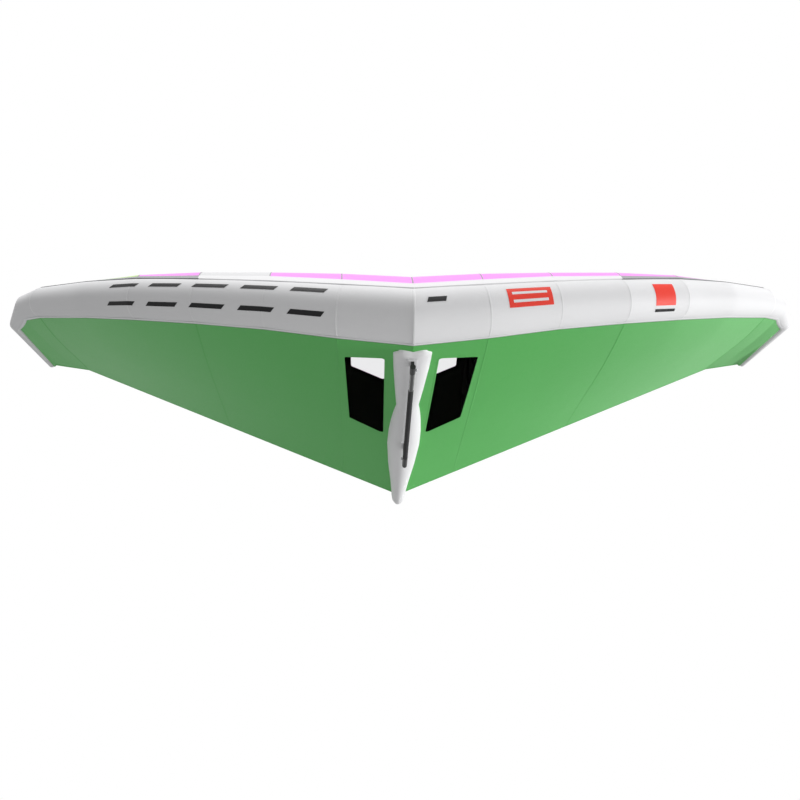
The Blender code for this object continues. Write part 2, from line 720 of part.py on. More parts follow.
def rib_outline(index):
    """Points of a rib in its own upright plane: round the tube's back and along both skins."""
    centre = station_centre(index)
    shares = np.linspace(0.0, 1.0, CHORD_STEPS * 2 + 1)
    upper = upper_line(index, shares)
    lower = lower_line(index, shares)
    back, _ = section_axis(index, centre)
    drop = SKIN + SEAM_GAP * 2
    upper_run = (upper - centre) @ back
    lower_run = (lower - centre) @ back
    upper_rise = upper[:, 2] - centre[2] - drop * 2
    lower_rise = lower[:, 2] - centre[2] + drop * 2
    front, top = station_axes(index)
    reach = station_radius(index) / abs(float(front @ back)) + RIB_CLEARANCE
    rise = station_radius(index) / top[2] + RIB_CLEARANCE
    low = RIB_ARC_FROM_DEG if index else MIDDLE_ARC_FROM_DEG
    angles = np.radians(np.linspace(low, RIB_ARC_TO_DEG, RIB_ARC_POINTS))
    arc = [(reach * math.cos(angle), rise * math.sin(angle)) for angle in angles]
    end = upper_run[-1] * RIB_END_SHARE
    top_from = arc[-1][0]
    top_runs = np.linspace(top_from, end, CHORD_STEPS)
    top = [(run, float(np.interp(run, upper_run, upper_rise))) for run in top_runs]
    bottom_runs = np.linspace(end, arc[0][0], CHORD_STEPS)
    bottom = []
    for run in bottom_runs:
        rise = float(np.interp(run, lower_run, lower_rise))
        if index == 0 and run > STRUT_FRONT:
            rise = max(rise, strut_top(run) - centre[2] + RIB_STRUT_CLEARANCE)
        bottom.append((run, rise))
    return arc + top + bottom, back, centre


def make_rib(index, side, name):
    outline, back, centre = rib_outline(index)
    across = np.cross(back, np.array([0.0, 0.0, 1.0]))
    points = []
    for shift in (-RIB_WALL / 2, RIB_WALL / 2):
        for run, rise in outline:
            points.append(centre + back * run + np.array([0.0, 0.0, rise]) + across * shift)
    count = len(outline)
    faces = [list(range(count))[::-1], list(range(count, 2 * count))]
    bridge(0, count, count, faces)
    rib = make_object(name, mirror(points, side), faces, WHITE, 0.7)
    face_outwards(rib)
    cut_rib_holes(rib, name, outline, back, centre, across, side)
    return rib


def cut_rib_holes(rib, name, outline, back, centre, across, side):
    """Round holes that let air pass between the bays."""
    runs = np.array([point[0] for point in outline])
    length = runs.max()
    tops = outline[RIB_ARC_POINTS:RIB_ARC_POINTS + CHORD_STEPS]
    bottoms = outline[RIB_ARC_POINTS + CHORD_STEPS:][::-1]
    for number, share in enumerate(RIB_HOLE_SHARES):
        run = length * share
        high = float(np.interp(run, [point[0] for point in tops], [point[1] for point in tops]))
        low = float(np.interp(run, [point[0] for point in bottoms], [point[1] for point in bottoms]))
        middle = centre + back * run + np.array([0.0, 0.0, (high + low) / 2])
        axis = mirror(across, side)
        frame = frame_at(mirror(middle, side), axis, (0.0, 0.0, 1.0))
        radius = (high - low) * RIB_HOLE_RADIUS_SHARE
        cutter = rod(f"{name}_hole_{number}", radius, -CUT_OVERRUN, CUT_OVERRUN, RIB_HOLE_SIDES, frame)
        add_boolean(rib, cutter)


# Boom

def boom_frame():
    """Z along the boom from its front end, X to the right-hand side."""
    origin = (0.0, BOOM_FRONT, -TUBE_RADIUS - BOOM_FRONT_DROP)
    direction = (0.0, math.cos(BOOM_ANGLE), -math.sin(BOOM_ANGLE))
    return frame_at(origin, direction, (1.0, 0.0, 0.0))


def boom_point(along):
    """Place of the boom's centre line, in the wing's own frame."""
    return (BOOM_FRONT + along * math.cos(BOOM_ANGLE),
            -TUBE_RADIUS - BOOM_FRONT_DROP - along * math.sin(BOOM_ANGLE))


def make_boom():
    frame = boom_frame()
    first = SOCKET_END + BOOM_FIT
    last = BOOM_LENGTH - PLUG_HEAD - BOOM_FIT
    inside = BOOM_RADIUS - BOOM_WALL
    tube = turned("boom_tube", [(inside, first), (BOOM_RADIUS, first), (BOOM_RADIUS, last),
                                (inside, last)], BOOM_SIDES, frame, GREY, 0.25)
    near = BOOM_RADIUS + BOOM_FIT
    grip_end = BOOM_LENGTH - REAR_SOCKET_LENGTH - SOCKET_END - GRIP_END_GAP
    turned("boom_grip", [(near, GRIP_FROM), (near + GRIP_WALL, GRIP_FROM),
                         (near + GRIP_WALL, grip_end), (near, grip_end)],
           BOOM_SIDES, frame, DARK, 0.85)
    head = BOOM_RADIUS + PLUG_FLANGE
    turned("boom_end_plug", [(0.0, last - PLUG_REACH), (inside - BOOM_FIT, last - PLUG_REACH),
                             (inside - BOOM_FIT, last + BOOM_FIT), (head, last + BOOM_FIT),
                             (head, BOOM_LENGTH - PLUG_HEAD / 2),
                             (head * PLUG_TIP_SHARE, BOOM_LENGTH - PLUG_HEAD / 7),
                             (0.0, BOOM_LENGTH)], BOOM_SIDES, frame, DARK, 0.5)
    return tube


def make_pad(name, start, stop):
    """A stitched pad that follows the strut's underside."""
    rows = []
    for y in np.linspace(start, stop, 4):
        level = strut_bottom(y) - SEAM_GAP
        width = float(np.interp(y, [strut_row(r)[0] for r in range(TAIL_ROW)],
                                [strut_row(r)[1] for r in range(TAIL_ROW)]))
        depth = float(np.interp(y, [strut_row(r)[0] for r in range(TAIL_ROW)],
                                [strut_row(r)[3] for r in range(TAIL_ROW)]))
        row = []
        for x in np.linspace(-PAD_WIDTH / 2, PAD_WIDTH / 2, 7):
            curve = depth * (1 - math.sqrt(1 - (x / width) ** 2))
            row.append((x, y, level + curve - PAD_THICKNESS))
        rows.append(row)
    return sheet(name, rows, True, 1, WHITE, thickness=PAD_THICKNESS - SEAM_GAP)


def make_mount(name, first, last, blind, pin_place):
    """A socket round the boom on a web that stands on the strut's pad."""
    frame = boom_frame()
    inside = BOOM_RADIUS + BOOM_FIT
    profile = [(0.0, first - SOCKET_END), (SOCKET_RADIUS, first - SOCKET_END),
               (SOCKET_RADIUS, last), (0.0, last)]
    socket = turned(name, profile, BOOM_SIDES, frame, DARK, 0.45)
    y_first, z_first = boom_point(first + PAD_MARGIN)
    y_last, z_last = boom_point(last - PAD_MARGIN)
    foot = SEAM_GAP + PAD_THICKNESS + SEAM_GAP
    side_outline = [(y_first, z_first), (y_last, z_last)]
    for y in np.linspace(y_last + WEB_FOOT, y_first - WEB_FOOT, 4):
        side_outline.append((y, strut_bottom(y) - foot))
    count = len(side_outline)
    points = [(x, y, z) for x in (-WEB_WIDTH / 2, WEB_WIDTH / 2) for y, z in side_outline]
    faces = [list(range(count))[::-1], list(range(count, 2 * count))]
    bridge(0, count, count, faces)
    web = make_object(f"{name}_web", points, faces, DARK)
    face_outwards(web)
    add_boolean(socket, web, "UNION")
    start = first if blind else first - SOCKET_END - CUT_OVERRUN
    bore = rod(f"{name}_bore", inside, start, last + CUT_OVERRUN, BOOM_SIDES, frame)
    add_boolean(socket, bore)
    add_boolean(socket, pin_cutter(f"{name}_pin_hole", pin_place))
    return socket


def pin_frame(along, side):
    y, z = boom_point(along)
    return frame_at((0.0, y, z), (side, 0.0, 0.0), (0.0, 0.0, 1.0))


def pin_cutter(name, along):
    reach = SOCKET_RADIUS + CUT_OVERRUN
    return rod(name, PIN_RADIUS + PIN_FIT, -reach, reach, 12, pin_frame(along, 1))


def make_release_pin(name, along, side):
    """A pin through socket and boom, with a knob to pull it out by."""
    shoulder = SOCKET_RADIUS + KNOB_STANDOFF
    tip = -(BOOM_RADIUS + PIN_POINT)
    profile = [(0.0, tip), (PIN_RADIUS * PIN_POINT_SHARE, tip), (PIN_RADIUS, tip + PIN_POINT),
               (PIN_RADIUS, shoulder), (KNOB_RADIUS, shoulder),
               (KNOB_RADIUS, shoulder + KNOB_LENGTH * KNOB_ROUND_SHARE),
               (KNOB_RADIUS * KNOB_ROUND_SHARE, shoulder + KNOB_LENGTH), (0.0, shoulder + KNOB_LENGTH)]
    return turned(name, profile, 16, pin_frame(along, side), GREY, 0.3, 1.0)


# Valve

def valve_frame():
    """On a flat of the tube's sleeve, Z outwards and X along the tube."""
    start = tube_point(VALVE_STATION, VALVE_ANGLE_DEG, station_radius(VALVE_STATION))
    end = tube_point(VALVE_STATION + 1, VALVE_ANGLE_DEG, station_radius(VALVE_STATION + 1))
    flat = math.cos(math.pi / TUBE_SIDES)
    centre_from = station_centre(VALVE_STATION)
    centre_to = station_centre(VALVE_STATION + 1)
    start = centre_from + (start - centre_from) * flat
    end = centre_to + (end - centre_to) * flat
    along = unit(end - start)
    centre = centre_from + (centre_to - centre_from) * VALVE_PLACE_SHARE
    point = start + (end - start) * VALVE_PLACE_SHARE
    outwards = unit(point - centre)
    outwards = unit(outwards - (outwards @ along) * along)
    return frame_at(point, outwards, along), point, outwards, along


def make_valve(sleeve, bladder):
    frame, _, _, _ = valve_frame()
    hole = rod("valve_hole", VALVE_NECK_RADIUS + VALVE_HOLE_GAP, -CUT_OVERRUN * 2, CUT_OVERRUN,
               VALVE_SIDES, frame)
    add_boolean(sleeve, hole)
    add_boolean(bladder, hole)
    low = SEAM_GAP
    seat_low = -VALVE_SEAT
    body = [(VALVE_BORE_RADIUS, -VALVE_INSIDE), (VALVE_NECK_RADIUS, -VALVE_INSIDE),
            (VALVE_NECK_RADIUS, low), (VALVE_FLANGE_RADIUS, low),
            (VALVE_FLANGE_RADIUS, low + VALVE_FLANGE), (VALVE_NECK_RADIUS, low + VALVE_FLANGE),
            (VALVE_NECK_RADIUS, VALVE_OUTSIDE), (VALVE_BORE_RADIUS, VALVE_OUTSIDE),
            (VALVE_BORE_RADIUS, 0.0), (VALVE_SEAT_RADIUS, 0.0), (VALVE_SEAT_RADIUS, seat_low),
            (VALVE_BORE_RADIUS, seat_low)]
    valve = turned("valve_body", body, VALVE_SIDES, frame, GREY, 0.4)
    top = seat_low - SEAM_GAP
    check = [(0.0, top - CHECK_THICKNESS), (CHECK_RADIUS, top - CHECK_THICKNESS), (CHECK_RADIUS, top),
             (CHECK_STEM_RADIUS, top), (CHECK_STEM_RADIUS, VALVE_OUTSIDE - CAP_WALL),
             (0.0, VALVE_OUTSIDE - CAP_WALL)]
    turned("valve_check", check, VALVE_SIDES, frame, DARK, 0.6)
    make_valve_cap(valve, frame)


def make_valve_cap(valve, frame):
    """A push-on cap on a hinge at the flange's rim."""
    inside = VALVE_NECK_RADIUS + CAP_GAP
    outside = inside + CAP_WALL
    under = VALVE_OUTSIDE + CAP_GAP
    cap = turned("valve_cap", [(0.0, under), (inside, under), (inside, under - CAP_SKIRT),
                               (outside, under - CAP_SKIRT), (outside, under + CAP_WALL),
                               (0.0, under + CAP_WALL)], VALVE_SIDES, frame, GREY, 0.4)
    hinge_y, hinge_z = hinge_place()
    barrel_frame = frame @ Matrix.Translation((0.0, hinge_y, hinge_z)) @ Matrix.Rotation(
        math.pi / 2, 4, "Y")
    half = HINGE_LENGTH / 2
    barrel = rod("valve_cap_barrel", HINGE_RADIUS, -half / 2 + SEAM_GAP, half / 2 - SEAM_GAP, 16,
                 barrel_frame)
    tongue = slab("valve_cap_tongue", frame, (-half / 2 + SEAM_GAP, half / 2 - SEAM_GAP),
                  (outside - CAP_WALL / 2, hinge_y), (hinge_z - CAP_WALL / 2, hinge_z + CAP_WALL / 2))
    add_boolean(cap, barrel, "UNION")
    add_boolean(cap, tongue, "UNION")
    add_boolean(cap, rod("valve_cap_bore", HINGE_BORE_RADIUS + CAP_GAP, -half, half, 12, barrel_frame))
    reach = HINGE_RADIUS * EAR_SHARE
    for number, sign in enumerate((-1, 1)):
        near = half / 2 + SEAM_GAP
        ear_x = sorted((sign * near, sign * half))
        ear = slab(f"valve_ear_{number}", frame, ear_x, (hinge_y - reach, hinge_y + reach),
                   (VALVE_FLANGE / 2, hinge_z + reach))
        add_boolean(valve, ear, "UNION")
    pin = rod("valve_hinge_pin", HINGE_BORE_RADIUS, -half, half, 12, barrel_frame)
    add_boolean(valve, pin, "UNION")


def hinge_place():
    """The cap's hinge axis, outwards from the valve's axis and level with the skirt's foot."""
    across = VALVE_NECK_RADIUS + CAP_GAP + CAP_WALL + HINGE_RADIUS + CAP_GAP
    return across, VALVE_OUTSIDE + CAP_GAP - CAP_SKIRT + CAP_WALL / 2


def slab(name, frame, x_span, y_span, z_span):
    """A rectangular block in a placing frame."""
    points = [frame @ Vector((x, y, z)) for z in z_span for x, y in
              ((x_span[0], y_span[0]), (x_span[1], y_span[0]),
               (x_span[1], y_span[1]), (x_span[0], y_span[1]))]
    faces = [[3, 2, 1, 0], [4, 5, 6, 7]]
    bridge(0, 4, 4, faces)
    block = make_object(name, points, faces, GREY, place=np.zeros(3))
    face_outwards(block)
    return block


# Hose

def make_hose(sleeve, strut, bladder):
    """A short hose from the back of the tube down to the top of the strut, inside the skins."""
    share = HOSE_X / station_centre(1)[0]
    inner = tube_point(0, 180, station_radius(0))
    outer = tube_point(1, 180, station_radius(1))
    away = unit(np.cross(np.array([0.0, 0.0, 1.0]), outer - inner))
    start = inner + (outer - inner) * share + away * SEAM_GAP * 2
    y, width, height, _, level = strut_row(4)
    land = np.array([HOSE_X / 2, HOSE_LAND, 0.0])
    land[2] = level + height * math.sqrt(1 - (land[0] / width) ** 2) + SEAM_GAP * 4
    route = bezier(start, start + away * HOSE_BEND,
                   land + np.array([0.0, 0.0, HOSE_BEND]), land, np.linspace(0.0, 1.0, 14))
    curve = bpy.data.curves.new("air_hose", "CURVE")
    curve.dimensions = "3D"
    curve.bevel_depth = HOSE_RADIUS
    curve.bevel_resolution = 2
    curve.use_fill_caps = True
    curve.render_resolution_u = 0
    spline = curve.splines.new("POLY")
    spline.points.add(len(route) - 1)
    for point, where in zip(spline.points, route + OFFSET):
        point.co = (*where, 1.0)
    hose = bpy.data.objects.new("air_hose", curve)
    curve.materials.append(make_material("air_hose", FILM, 0.35))
    bpy.context.collection.objects.link(hose)
    rear = rod("hose_port_front", HOSE_PORT_RADIUS, -CUT_OVERRUN, CUT_OVERRUN, 12,
               frame_at(start, away, (1.0, 0.0, 0.0)))
    add_boolean(sleeve, rear)
    down = rod("hose_port_strut", HOSE_PORT_RADIUS, -CUT_OVERRUN, CUT_OVERRUN, 12,
               frame_at(land, (0.0, 0.0, 1.0), (1.0, 0.0, 0.0)))
    add_boolean(strut, down)
    add_boolean(bladder, down)
    return hose


# Zip

def zip_surface(share_across, share_along, lift):
    """A point over the upper skin of the zip's bay, lifted off along the surface's normal."""
    step = 1 / (CHORD_STEPS * 8)
    near = [share_along - step, share_along, share_along + step]
    first = upper_line(ZIP_STATION, near)
    second = upper_line(ZIP_STATION + 1, near)
    run = first + (second - first) * share_across
    normal = unit(np.cross(second[1] - first[1], run[2] - run[0]))
    return run[1] + normal * lift, normal, unit(second[1] - first[1])


def make_zip(panel):
    lift = ZIP_TAPE + SEAM_GAP
    chords = np.linspace(ZIP_CHORD_SHARE - ZIP_WIDTH_SHARE, ZIP_CHORD_SHARE + ZIP_WIDTH_SHARE, 5)
    spans = np.linspace(ZIP_FROM_SHARE, ZIP_TO_SHARE, 5)
    rows = [[zip_surface(span, chord, lift)[0] for chord in chords] for span in spans]
    sheet("zip_tape", rows, True, 1, DARK, thickness=ZIP_TAPE)
    length = np.linalg.norm(rows[-1][2] - rows[0][2])
    point, normal, along = zip_surface(ZIP_FROM_SHARE, ZIP_CHORD_SHARE, lift + SEAM_GAP)
    frame = frame_at(point, normal, along)
    slit = slab("zip_slit", frame, (SLIDER_LENGTH, length - SLIDER_LENGTH),
                (-SLIT_HALF_WIDTH, SLIT_HALF_WIDTH), (-CUT_OVERRUN, CUT_OVERRUN))
    add_boolean(panel, slit)
    slider = slab("zip_slider", frame, (PULL_WIDTH / 2, PULL_WIDTH / 2 + SLIDER_LENGTH),
                  (-SLIDER_WIDTH / 2, SLIDER_WIDTH / 2), (SEAM_GAP, SLIDER_HEIGHT))
    middle = PULL_WIDTH / 2 + SLIDER_LENGTH / 2
    pull = slab("zip_pull", frame, (middle - PULL_WIDTH / 2, middle + PULL_WIDTH / 2),
                (0.0, PULL_LENGTH), (SLIDER_HEIGHT - PULL_THICKNESS, SLIDER_HEIGHT + PULL_THICKNESS))
    add_boolean(slider, pull, "UNION")


def main():
    clear_scene()
    sleeves = {}
    lowers = {}
    uppers = {}
    for side, word in ((-1, "left"), (1, "right")):
        sleeves[word] = make_leading_edge(side, word)
        uppers[word] = make_upper_skin(side, word)
        lowers[word] = make_lower_skin(side, word)
        make_windows(side, word, uppers[word]["inner"], lowers[word]["inner"])
        for index, label in ((1, "inner"), (2, "second"), (3, "third")):
            make_rib(index, side, f"rib_{label}_{word}")
    make_rib(0, 1, "rib_middle")
    bladder = make_leading_edge_bladder()
    strut = make_strut()
    strut_bladder = make_strut_bladder()
    make_valve(sleeves["right"]["second"], bladder)
    make_hose(sleeves["right"]["inner"], strut, strut_bladder)
    make_zip(uppers["right"]["second"])
    tube = make_boom()
    front_pin = SOCKET_END + PIN_FROM_END
    rear_pin = BOOM_LENGTH - REAR_PIN_FROM_END
    make_mount("front_mount", SOCKET_END, FRONT_SOCKET_LENGTH, True, front_pin)
    make_mount("rear_mount", BOOM_LENGTH - REAR_SOCKET_LENGTH, BOOM_LENGTH - PLUG_HEAD, False, rear_pin)
    for name, place, side in (("front_release_pin", front_pin, 1), ("rear_release_pin", rear_pin, -1)):
        make_release_pin(name, place, side)
        add_boolean(tube, pin_cutter(f"{name}_tube_hole", place))
    make_pad("front_mount_pad", boom_point(0.0)[0], boom_point(FRONT_SOCKET_LENGTH)[0])
    make_pad("rear_mount_pad", boom_point(BOOM_LENGTH - REAR_SOCKET_LENGTH)[0],
             boom_point(BOOM_LENGTH - PLUG_HEAD)[0])


if __name__ == "__main__":
    main()
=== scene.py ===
"""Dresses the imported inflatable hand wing: sewn cloth, windows, strut, boom, light and camera.

Lengths are in metres. The wing's own frame has its origin on the tube's axis at the nose; FORM.place
moves it into the model's frame, where +Y runs from the nose to the trailing edge and +Z is up.
"""
from __future__ import annotations

import logging
import math
from dataclasses import dataclass, field, replace
from enum import Enum, unique
from functools import cache, reduce
from typing import Callable, Mapping, Sequence

import bpy
import numpy as np
from mathutils import Matrix, Vector
from mathutils.geometry import delaunay_2d_cdt

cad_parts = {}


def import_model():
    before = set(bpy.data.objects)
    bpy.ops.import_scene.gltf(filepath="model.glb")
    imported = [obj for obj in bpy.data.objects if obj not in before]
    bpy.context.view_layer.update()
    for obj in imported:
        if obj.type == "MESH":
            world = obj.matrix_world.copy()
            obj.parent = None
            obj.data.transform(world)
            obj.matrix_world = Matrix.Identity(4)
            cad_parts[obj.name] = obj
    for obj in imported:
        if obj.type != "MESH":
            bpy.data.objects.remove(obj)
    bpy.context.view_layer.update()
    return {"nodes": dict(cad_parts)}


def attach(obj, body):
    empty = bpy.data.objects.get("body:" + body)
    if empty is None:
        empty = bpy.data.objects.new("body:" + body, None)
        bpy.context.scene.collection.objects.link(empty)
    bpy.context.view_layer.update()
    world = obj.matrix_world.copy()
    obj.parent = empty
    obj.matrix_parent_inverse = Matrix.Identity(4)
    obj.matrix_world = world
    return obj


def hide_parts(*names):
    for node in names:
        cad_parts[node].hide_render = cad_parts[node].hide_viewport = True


LOG = logging.getLogger("scene")
Array = np.ndarray
Places = Array | float
Faces = list[tuple[int, ...]]
UP = np.array([0.0, 0.0, 1.0])
LEVEL = np.array([1.0, 1.0, 0.0])
UPRIGHT = np.array([0.0, 1.0, 1.0])
MIRROR = np.array([-1.0, 1.0, 1.0])
STEP = 1e-3


class Side(Enum):
    """The two halves of the wing, looking from the nose along +Y."""

    LEFT = -1
    RIGHT = 1

    @property
    def word(self) -> str:
        """The half's name as the frame's nodes have it."""
        return self.name.lower()


def unit(vectors: Array) -> Array:
    """Vectors scaled to length one."""
    vectors = np.asarray(vectors, dtype=float)
    return vectors / np.maximum(np.linalg.norm(vectors, axis=-1, keepdims=True), 1e-12)


# The wing's form: the same curves as the frame's, as functions of station and chord share

@dataclass(frozen=True)
class WingForm:
    """Sizes and curves of the wing, which its cloth pieces follow."""

    half_span: float = 1.925
    tube_radius: float = 0.130
    tip_sweep: float = 1.635
    tip_rise: float = 0.470
    root_length: float = 2.169
    root_edge_drop: float = 0.104
    corner: tuple[float, float, float] = (1.659, 1.680, 0.446)
    edge_end: tuple[float, float, float] = (1.846, 1.647, 0.463)
    skin: float = 0.0005
    standoff: float = 0.0026
    edge_gap: float = 0.00015
    place: tuple[float, float, float] = (0.0, -1.055, 0.27155929)
    x_shares: tuple[float, ...] = (0.0, 0.157, 0.316, 0.475, 0.620, 0.754, 0.897, 0.948, 0.9905, 0.9605)
    sweep_shares: tuple[float, ...] = (0.0, 0.021, 0.055, 0.106, 0.182, 0.289, 0.467, 0.537, 0.625, 1.0)
    rise_shares: tuple[float, ...] = (0.0, 0.089, 0.204, 0.326, 0.470, 0.636, 0.891, 0.948, 0.900, 0.975)
    radius_shares: tuple[float, ...] = (1.0, 0.943, 0.853, 0.793, 0.739, 0.645, 0.558, 0.488, 0.247, 0.118)
    edge_shares: tuple[float, ...] = (0.0, 0.157, 0.316, 0.475, 0.615, 0.738, 0.862, 0.905, 0.935, 0.950)
    seam_angles: tuple[float, ...] = (46, 46, 47, 48, 52, 62, 74, 80, 84, 86)
    border_angles: tuple[float, ...] = (90, 90, 90, 90, 90, 90, 91, 92, 128, 140)
    fullness: tuple[float, ...] = (0.35, 0.35, 0.33, 0.31, 0.285, 0.22, 0.16, 0.14, 0.20, 0.60)
    tail_share: float = 0.42
    tail_turn: float = math.radians(3.4)
    flat_share: float = 0.33
    bend: int = 6

    def last(self) -> int:
        """The tip's station."""
        return len(self.x_shares) - 1

    def centres(self) -> Array:
        """Tube centres at the stations."""
        return np.stack([self.half_span * np.array(self.x_shares), self.tip_sweep * np.array(self.sweep_shares),
                         self.tip_rise * np.array(self.rise_shares)], axis=-1)

    def radii(self) -> Array:
        """Tube radii at the stations."""
        return self.tube_radius * np.array(self.radius_shares)

    def axes(self) -> tuple[Array, Array]:
        """Unit vectors across the tube at the stations, forwards and upwards."""
        centres = self.centres()
        steps = unit(np.diff(centres, axis=0))
        along = unit(np.concatenate([steps[:1], steps[:-1] + steps[1:], steps[-1:]]))
        front = unit(np.stack([along[:, 1], -along[:, 0], np.zeros(len(along))], axis=-1))
        top = unit(np.cross(front, along))
        front[0] = (0.0, -1.0, 0.0)
        top[0] = UP
        return front, top

    def trailing(self, shares: Array | Sequence[float]) -> Array:
        """Points of the trailing edge at shares of the half span."""
        x = self.half_span * np.asarray(shares, dtype=float)
        knots = np.array([(0.0, self.root_length, -self.root_edge_drop), self.corner, self.edge_end])
        return np.stack([np.interp(x, knots[:, 0], knots[:, axis]) if axis else x for axis in range(3)], axis=-1)


FORM = WingForm()


@dataclass(frozen=True)
class WingCurves:
    """Control points of the skins' sections, and the tube's rings, worked out from the form."""

    upper_net: Array
    lower_net: Array
    centres: Array
    radii: Array
    fronts: Array
    tops: Array

    @classmethod
    def of(cls, form: WingForm) -> WingCurves:
        """Work the curves out.

        Args:
            form: The wing's sizes.

        Returns:
            The curves that all cloth pieces share.
        """
        centres, radii = form.centres(), form.radii()
        fronts, tops = form.axes()
        edge = form.trailing(form.edge_shares)
        rest = form.skin + form.edge_gap

        def ring(angle: Array) -> Array:
            reach = (radii + form.skin + form.standoff)[:, None]
            return centres + reach * (np.cos(angle)[:, None] * fronts + np.sin(angle)[:, None] * tops)

        seam = np.radians(np.array(form.seam_angles, dtype=float))
        start, end = ring(seam), edge + rest * UP
        level = (end - start) * LEVEL
        length = np.linalg.norm(level, axis=1)[:, None]
        back = unit(level)
        rising = np.sin(seam)[:, None] * back + np.cos(seam)[:, None] * UP
        slope = np.arctan2((end - start)[:, 2:], length) - form.tail_turn
        falling = np.cos(slope) * back + np.sin(slope) * UP
        fullness = np.array(form.fullness)[:, None]
        upper = np.stack([start, start + fullness * length * rising, end - form.tail_share * length * falling, end],
                         axis=1)
        start, end = ring(-np.radians(np.array(form.border_angles, dtype=float))), edge - rest * UP
        ahead = form.flat_share * ((end - start) * LEVEL)
        lower = np.stack([start, start + ahead, end - form.flat_share * (end - start), end], axis=1)
        return cls(upper, lower, centres, radii, fronts, tops)


CURVES = WingCurves.of(FORM)


def between(s: Array) -> tuple[Array, Array]:
    """The station before each place along the span, and the share from it to the next."""
    index = np.clip(np.floor(s).astype(int), 0, FORM.last() - 1)
    return index, np.asarray(s, dtype=float) - index


def ruled(net: Array, s: Places, t: Places) -> Array:
    """Points of a skin whose sections are Bezier curves, straight between the stations."""
    s, t = np.broadcast_arrays(np.asarray(s, dtype=float), np.asarray(t, dtype=float))
    index, share = between(s)
    weights = np.stack([(1 - t) ** 3, 3 * (1 - t) ** 2 * t, 3 * (1 - t) * t ** 2, t ** 3], axis=-1)[..., None]
    near = (net[index] * weights).sum(axis=-2)
    far = (net[index + 1] * weights).sum(axis=-2)
    return near + (far - near) * share[..., None]


def upper(s: Places, t: Places) -> Array:
    """The upper skin's outside."""
    return ruled(CURVES.upper_net, s, t)


def lower(s: Places, t: Places) -> Array:
    """The lower skin's outside."""
    return ruled(CURVES.lower_net, s, t)


def tube(s: Places, degrees: Places, lift: Places = 0.0) -> Array:
    """Points of the leading-edge tube.

    Args:
        s: Places along the tube, in stations.
        degrees: Angles from the front, positive towards the top.
        lift: Distance above the tube's surface.

    Returns:
        The points, in the wing's own frame.
    """
    s, degrees, lift = np.broadcast_arrays(np.asarray(s, dtype=float), np.asarray(degrees, dtype=float), lift)
    index, share = between(s)
    cos, sin = np.cos(np.radians(degrees))[..., None], np.sin(np.radians(degrees))[..., None]

    def ring(station: Array) -> Array:
        reach = (CURVES.radii[station] + lift)[..., None]
        return CURVES.centres[station] + reach * (cos * CURVES.fronts[station] + sin * CURVES.tops[station])

    near, far = ring(index), ring(index + 1)
    return near + (far - near) * share[..., None]


def at_stations(s: Places, values: Array | Sequence[float]) -> Array:
    """Values at places along the span, straight between those of the stations."""
    return np.interp(s, np.arange(len(values)), values)


def span_places(inner: int, end: float, outer: int) -> Array:
    """Places from the nose to near the tip, with their own spacing past the bend of the tube."""
    return np.concatenate([np.linspace(0, FORM.bend, inner), np.linspace(FORM.bend, end, outer)[1:]])


# Strut

@dataclass(frozen=True)
class StrutForm:
    """Rows of the strut from its front lip to its tail, as shares of its sizes."""

    front: float = 0.050
    length: float = 2.190
    half_width: float = 0.0835
    height: float = 0.070
    depth: float = 0.076
    drop: float = 0.015
    lobe: float = 0.006
    lobe_pitch: float = 0.045
    set_back: float = 0.010
    corner_drop: float = 0.020
    corner_width: float = 0.036
    sewn_from: float = 0.030
    lap: float = 0.001
    y: tuple[float, ...] = (0.0, 0.007, 0.012, 0.041, 0.091, 0.206, 0.305, 0.329, 0.361, 0.411,
                            0.479, 0.571, 0.708, 0.845, 0.913, 0.954, 0.968, 0.980, 0.993, 1.0)
    width: tuple[float, ...] = (0.74, 0.97, 1.0, 0.98, 0.935, 0.775, 0.62, 0.69, 0.77, 0.86,
                                0.94, 0.965, 0.825, 0.597, 0.50, 0.45, 0.43, 0.40, 0.31, 0.13)
    over: tuple[float, ...] = (0.02, 0.04, 0.13, 0.64, 0.86, 0.74, 0.57, 0.71, 0.86, 0.96,
                               1.0, 0.94, 0.71, 0.29, 0.07, 0.04, 0.03, 0.09, 0.10, 0.06)
    under: tuple[float, ...] = (0.14, 0.28, 0.36, 0.51, 0.61, 0.59, 0.45, 0.58, 0.70, 0.84,
                                0.94, 1.0, 0.98, 0.88, 0.78, 0.60, 0.57, 0.52, 0.43, 0.26)
    fall: tuple[float, ...] = (0.2, 0, 0, 0, 0, 0, 0, 0, 0, 0, 0, 0, 0, 0, 0.2, 0.9, 0.93, 1.0, 1.0, 1.0)
    tail_row: int = 15

    def rows(self) -> Array:
        """Columns of place back, half width, height over, depth under and level for each row."""
        y = self.front + self.length * np.array(self.y)
        width = self.half_width * np.array(self.width)
        level = lower_height(width, np.minimum(y, FORM.root_length)) - self.drop * np.array(self.fall, dtype=float)
        return np.stack([y, width, self.height * np.array(self.over), self.depth * np.array(self.under), level],
                        axis=-1)

    def at(self, y: Array) -> tuple[Array, ...]:
        """Half width, height over, depth under and level at places back."""
        rows = self.rows()
        return tuple(np.interp(y, rows[:, 0], rows[:, column]) for column in (1, 2, 3, 4))

    def edge(self, y: Array) -> Array:
        """Half width of the strut where the lower skin is sewn to it, or 0 ahead of that."""
        return np.where(y < self.front + self.sewn_from, 0.0, self.at(y)[0] - self.lap)


def lower_height(x: Array, y: Array) -> Array:
    """Height of the lower skin's outside near the strut."""
    shares = np.linspace(0.0, 1.0, 56)
    middle, outer = lower(0.0, shares), lower(1.0, shares)
    share = np.asarray(x) / CURVES.centres[1][0]
    return (1 - share) * np.interp(y, middle[:, 1], middle[:, 2]) + share * np.interp(y, outer[:, 1], outer[:, 2])


STRUT = StrutForm()


# Colours and finishes

